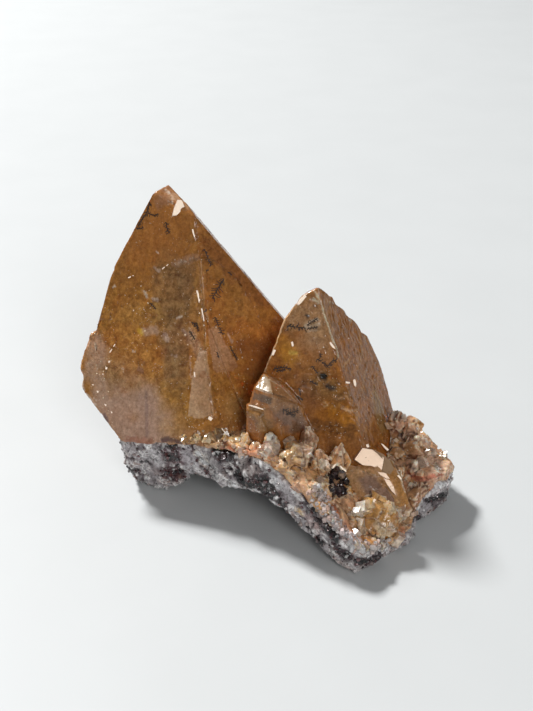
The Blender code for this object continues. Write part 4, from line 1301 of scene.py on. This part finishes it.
def fern(spine, tooth, rng):
    """Strokes of a branching marking: a spine through pixels with short teeth on both sides, as ends and widths."""
    strokes = []
    side = 1
    for a, b in zip(spine, spine[1:]):
        a, b = np.array(a), np.array(b)
        length = max(np.linalg.norm(b - a), 0.1)
        way = (b - a) / length
        for k in range(max(1, int(length / SPINE_STEP))):
            at = a + way * SPINE_STEP * k
            strokes.append((at, at + way * 1.3 + rng.normal(size=2) * 0.15, SPINE_WIDTH))
            angle = math.atan2(way[1], way[0]) + side * rng.uniform(0.8, 1.35)
            side = -side if rng.random() < 0.75 else side
            reach = tooth * rng.uniform(0.35, 1.1)
            for j in range(int(reach / 0.9) + 1):
                new = at + TWIG_STEP * np.array((math.cos(angle), math.sin(angle)))
                strokes.append((at, new, TWIG_WIDTH))
                at = new
                angle += rng.normal() * 0.25
    return strokes


def unseen_plans(seed, x_range, y_range, count):
    """A table of markings scattered over the back, in pixels seen from behind."""
    rng = np.random.default_rng(seed)
    lines = []
    for _ in range(count):
        x, y, turn = rng.uniform(*x_range), rng.uniform(*y_range), rng.uniform(0, 6.3)
        reach = rng.uniform(4, 18)
        end = f"{x + math.cos(turn) * reach:.1f},{y + math.sin(turn) * reach:.1f}"
        lines.append(f"{x:.1f},{y:.1f} {end}; {rng.uniform(1.5, 4.5)}")
    return "\n".join(lines)


def ferns(name, tree, table, seed, material, turned=False):
    """Fern-like markings laid on the crystal where the picture shows them, as thin ribbons."""
    rng = np.random.default_rng(seed)
    points, faces = [], []
    for where, tooth in rows(table):
        for a, b, width in fern(pairs(where), float(tooth), rng):
            d = (b - a) / max(np.linalg.norm(b - a), 1e-6)
            side = np.array((-d[1], d[0])) * width * 0.5
            ends = a - side, b - side + d * 0.2, b + side + d * 0.2, a + side
            corners = [seen_at(tree, *q, turned) for q in ends]
            if None in corners or max(np.linalg.norm(c[0] - corners[0][0]) for c in corners) > RIBBON_LONGEST:
                continue
            k = len(points)
            points += [c[0] + c[1] * RIBBON_LIFT for c in corners]
            faces += [(k, k + 3, k + 2), (k, k + 2, k + 1)]
    piece(name, Bare(np.array(points), np.array(faces)), material, None, "honey_calcite", False)


def marking_material():
    m = Nodes("manganese_film")
    tone = m.blend(m.noise(1.2, 3, 0.6), (0.018, 0.012, 0.010), (0.060, 0.034, 0.020))
    m.set(Base_Color=tone, Roughness=m.span(m.noise(0.8, 3, 0.6), 0.3, 0.7, 0.3, 0.5))
    return m.mat


LARGE_FERNS = """
150,202 148,209 146,214 141,221 138,227; 2.2
148,213 154,216 159,213; 1.8
135,228 140,229 144,227; 2.2
166,222 167,228 170,234; 3
224,279 218,288 212,299; 5.5
204,249 208,258 211,266; 2
206,270 209,271; 1.8
228,272 232,275; 1.8
207,310 204,312; 1.8
215,317 219,327 223,335; 2.5
230,346 237,360; 1.6
197,323 198,332; 3
192,322 199,328; 2.2
190,331 195,340; 1.8
150,303 156,309; 1.5
217,352 219,358; 1.2
"""
SECOND_FERNS = """
287,326 296,327 306,328; 3.6
307,325 313,321 318,318; 2.4
307,329 318,327; 1.2
317,359 322,362 327,366; 2.6
327,367 332,361 338,359; 2.6
320,357 321,353; 1.5
273.5,369 283,367.5 292,369; 2
276,371 286,370; 1.2
283,409 290,413 299,410; 3.6
286,414 296,415; 2.2
326,386 334,389; 1.8
297,396 303,400; 1.2
312,366 318,374; 1.2
310,381 318,385; 1.2
299,388 301,396; 1
"""


# ---------------------------------------------------------------- stage

def floor_and_lights():
    m = Nodes("floor_white")
    m.set(Roughness=0.55)
    m.put(m.shader.inputs["Base Color"], m.blend(m.noise(30, 3, 0.5), (0.565, 0.58, 0.58), (0.60, 0.615, 0.615)))
    mesh = bpy.data.meshes.new("floor")
    w = FLOOR_REACH
    mesh.from_pydata([(-w, -w, 0), (w, -w, 0), (w, w, 0), (-w, w, 0)], [], [(0, 1, 2, 3)])
    mesh.materials.append(m.mat)
    add_object("floor", mesh)
    sky()
    lamp("key", KEY_FROM, KEY_AWAY, KEY_RADIUS, KEY_POWER)
    lamp("front", Vector(FRONT_FROM), FRONT_AWAY, FRONT_RADIUS, FRONT_POWER)


def sky():
    """Light from all round, bright above and dim at the horizon, so that hollows low in the piece stay dark."""
    world = bpy.data.worlds.new("studio")
    world.use_nodes = True
    tree = world.node_tree
    way, parts, span = (tree.nodes.new("ShaderNode" + kind) for kind in ("TexCoord", "SeparateXYZ", "MapRange"))
    back = tree.nodes["Background"]
    back.inputs[0].default_value = (0.97, 0.985, 1.0, 1)
    for key, value in (("From Min", 0.05), ("From Max", 0.95), ("To Min", SKY[0]), ("To Max", SKY[1])):
        span.inputs[key].default_value = value
    tree.links.new(way.outputs["Generated"], parts.inputs[0])
    tree.links.new(parts.outputs[2], span.inputs["Value"])
    tree.links.new(span.outputs[0], back.inputs[1])
    bpy.context.scene.world = world


def lamp(name, way, distance, radius, power):
    data = bpy.data.lights.new(name, "AREA")
    data.shape = "DISK"
    data.size = radius * 2
    data.energy = power
    ob = add_object(name, data)
    ob.location = way.normalized() * distance + Vector((0, 0, 0.03))
    ob.rotation_euler = way.to_track_quat("Z", "Y").to_euler()


def camera():
    data = bpy.data.cameras.new("camera")
    data.lens = LENS
    data.sensor_width = SENSOR
    data.clip_start, data.clip_end = 0.01, 20
    ob = add_object("camera", data)
    ob.location = CAMERA_AT * MM
    ob.rotation_euler = (math.pi / 2 - CAMERA_PITCH, 0, 0)
    bpy.context.scene.camera = ob
    bpy.context.scene.view_settings.view_transform = "Standard"


camera()
floor_and_lights()
large = large_crystal()
second = second_crystal()
front = front_crystals()
rock = matrix()
druse, brown = crust(rock.tree())
film = marking_material()
large_tree, second_tree, front_tree, crust_tree = (skin.tree() for skin in (large, second, front, druse))
flaws("large_flaws", large, large_tree, 2600, 3.2, 9.0, 91)
flaws("second_flaws", second, second_tree, 900, 2.4, 6.0, 92)
ferns("large_markings", large_tree, LARGE_FERNS, 5, film)
ferns("second_markings", second_tree, SECOND_FERNS, 6, film)
ferns("large_back_markings", large_tree, unseen_plans(7, (235, 430), (230, 440), 22), 8, film, True)
ferns("second_back_markings", second_tree, unseen_plans(9, (150, 260), (290, 440), 10), 10, film, True)

# Small crystals on the crust, fewest on the worn edges that face the camera and none in the pit.
crust_shine = druse.tint.mean(axis=1)
share = ease(druse.flat[:, 2], -0.1, 0.5) * (0.15 + ease(fractal(druse.home, 5, 80, 3), 0.0, 0.5))
share = np.maximum(share, 0.5 * druse.facing(0.2, -0.2))
share *= ease(crust_shine, 0.07, 0.12) * (1 - 0.85 * ease(druse.wear, 0.2, 0.7) * druse.facing(0.0, 0.3)) + 1e-5
scatter("crust_crystals", druse, share, 760, (0.8, 3.2), "rfrp", 0.4, 0.34, 81,
        ".66,.45,.31 .8,.62,.5 .44,.27,.19 .94,.84,.76", 0.5, brown, "brown_calcite", 0.3)
shine = rock.tint.mean(axis=1)
wall = ease(rock.home[:, 2], 0.6, 1.5) * (1 - ease(rock.flat[:, 2], 0.3, 0.6))
dark = 1 - ease(shine, 0.08, 0.16)
black_crystals("black_grains", rock, wall * (dark + 0.03), 2600, (0.3, 1.2), 0.15, 82, ".12,.05,.05")

# At the foot of the large crystal, in the pit beside the front crystals and on their low yellow one.
large_ground = Bare(large.p, large.faces, np.tile((0.72, 0.50, 0.30), (len(large.p), 1)))
share = stroke_share(large, large_tree, "186,438 205,437 222,436 238,437 248,438", 1.1, 85)
scatter("foot_crystals", large_ground, share + 1e-7, 60, (1.0, 3.4), "rft", 0.9, 0.35, 86,
        ".66,.4,.18 .86,.66,.44 .42,.24,.12", 0.3, brown, "brown_calcite", 0.2, 1.3)
share = 1 - ease(front.tint.mean(axis=1), 0.04, 0.07)
black_crystals("front_pit_crystals", front, share + 1e-7, 160, (0.5, 1.8), 0.1, 87, ".12,.07,.06")
block_faces((large_tree, second_tree, front_tree, crust_tree))
ring = "366,501 378,497 390,503 398,508 399,520 396,532 386,542 374,544 364,535 357,524 357,512"
share = stroke_share(front, front_tree, ring, 1.8, 94)
scatter("front_crystallets", front, share + 1e-7, 46, (1.0, 4.4), "rfs", 0.4, 0.5, 95,
        ".66,.4,.15 .56,.32,.14 .84,.66,.46 .86,.78,.7", 0.4, brown, "amber_calcite", 0.25, 0.6)
line = "320,498 328,513 337,530 347,543 358,550 372,552 386,547"
share = stroke_share(druse, crust_tree, line, 2.2, 96)
scatter("skirt_grains", druse, share + 1e-7, 420, (0.4, 1.6), "rsp", 0.8, 0.2, 97,
        ".86,.82,.82 .7,.6,.58 .5,.36,.32 .86,.84,.86", 0.2, quartz(), "brown_calcite", 0.4)

# Glinting specks: tiny pale flakes painted as highlights.
glassy = quartz()
share = np.zeros(len(large.home))
for line in ("90,345 96,380 112,405", "236,345 252,385 226,410", "198,422 245,426", "140,300 165,345",
             "195,300 205,350"):
    share = np.maximum(share, stroke_share(large, large_tree, line, 5.0, 88))
sparkles("large_sparkles", large_ground, share + 1e-7, 260, (0.16, 0.5), 0.2, 89, glassy, "honey_calcite")
second_ground = Bare(second.p, second.faces, np.zeros((len(second.p), 3)))
share = 0.02 + second.facing(0.0, 0.4) * (1 - ease(second.home[:, 2], 24, 46))
sparkles("second_sparkles", second_ground, share, 120, (0.16, 0.45), 0.2, 90, glassy, "amber_calcite")
share = druse.facing(0.0, 0.5) + 0.05
sparkles("crust_sparkles", druse, share, 520, (0.2, 0.7), 0.15, 93, glassy, "brown_calcite", 0.2)

share = 1 - ease(crust_shine, 0.05, 0.09)
black_crystals("pit_crystals", druse, share + 1e-6, 460, (0.4, 1.7), 0.1, 84, ".1,.06,.05")
share = wall * (0.12 + ease(shine, 0.45, 0.6) + 0.4 * dark)
scatter("quartz_grains", rock, share, 2400, (0.3, 1.3), "psr", 0.8, 0.2, 83,
        ".7,.68,.68 .84,.82,.8 .45,.36,.33", 0.35, quartz(), "grey_matrix", 0.5)
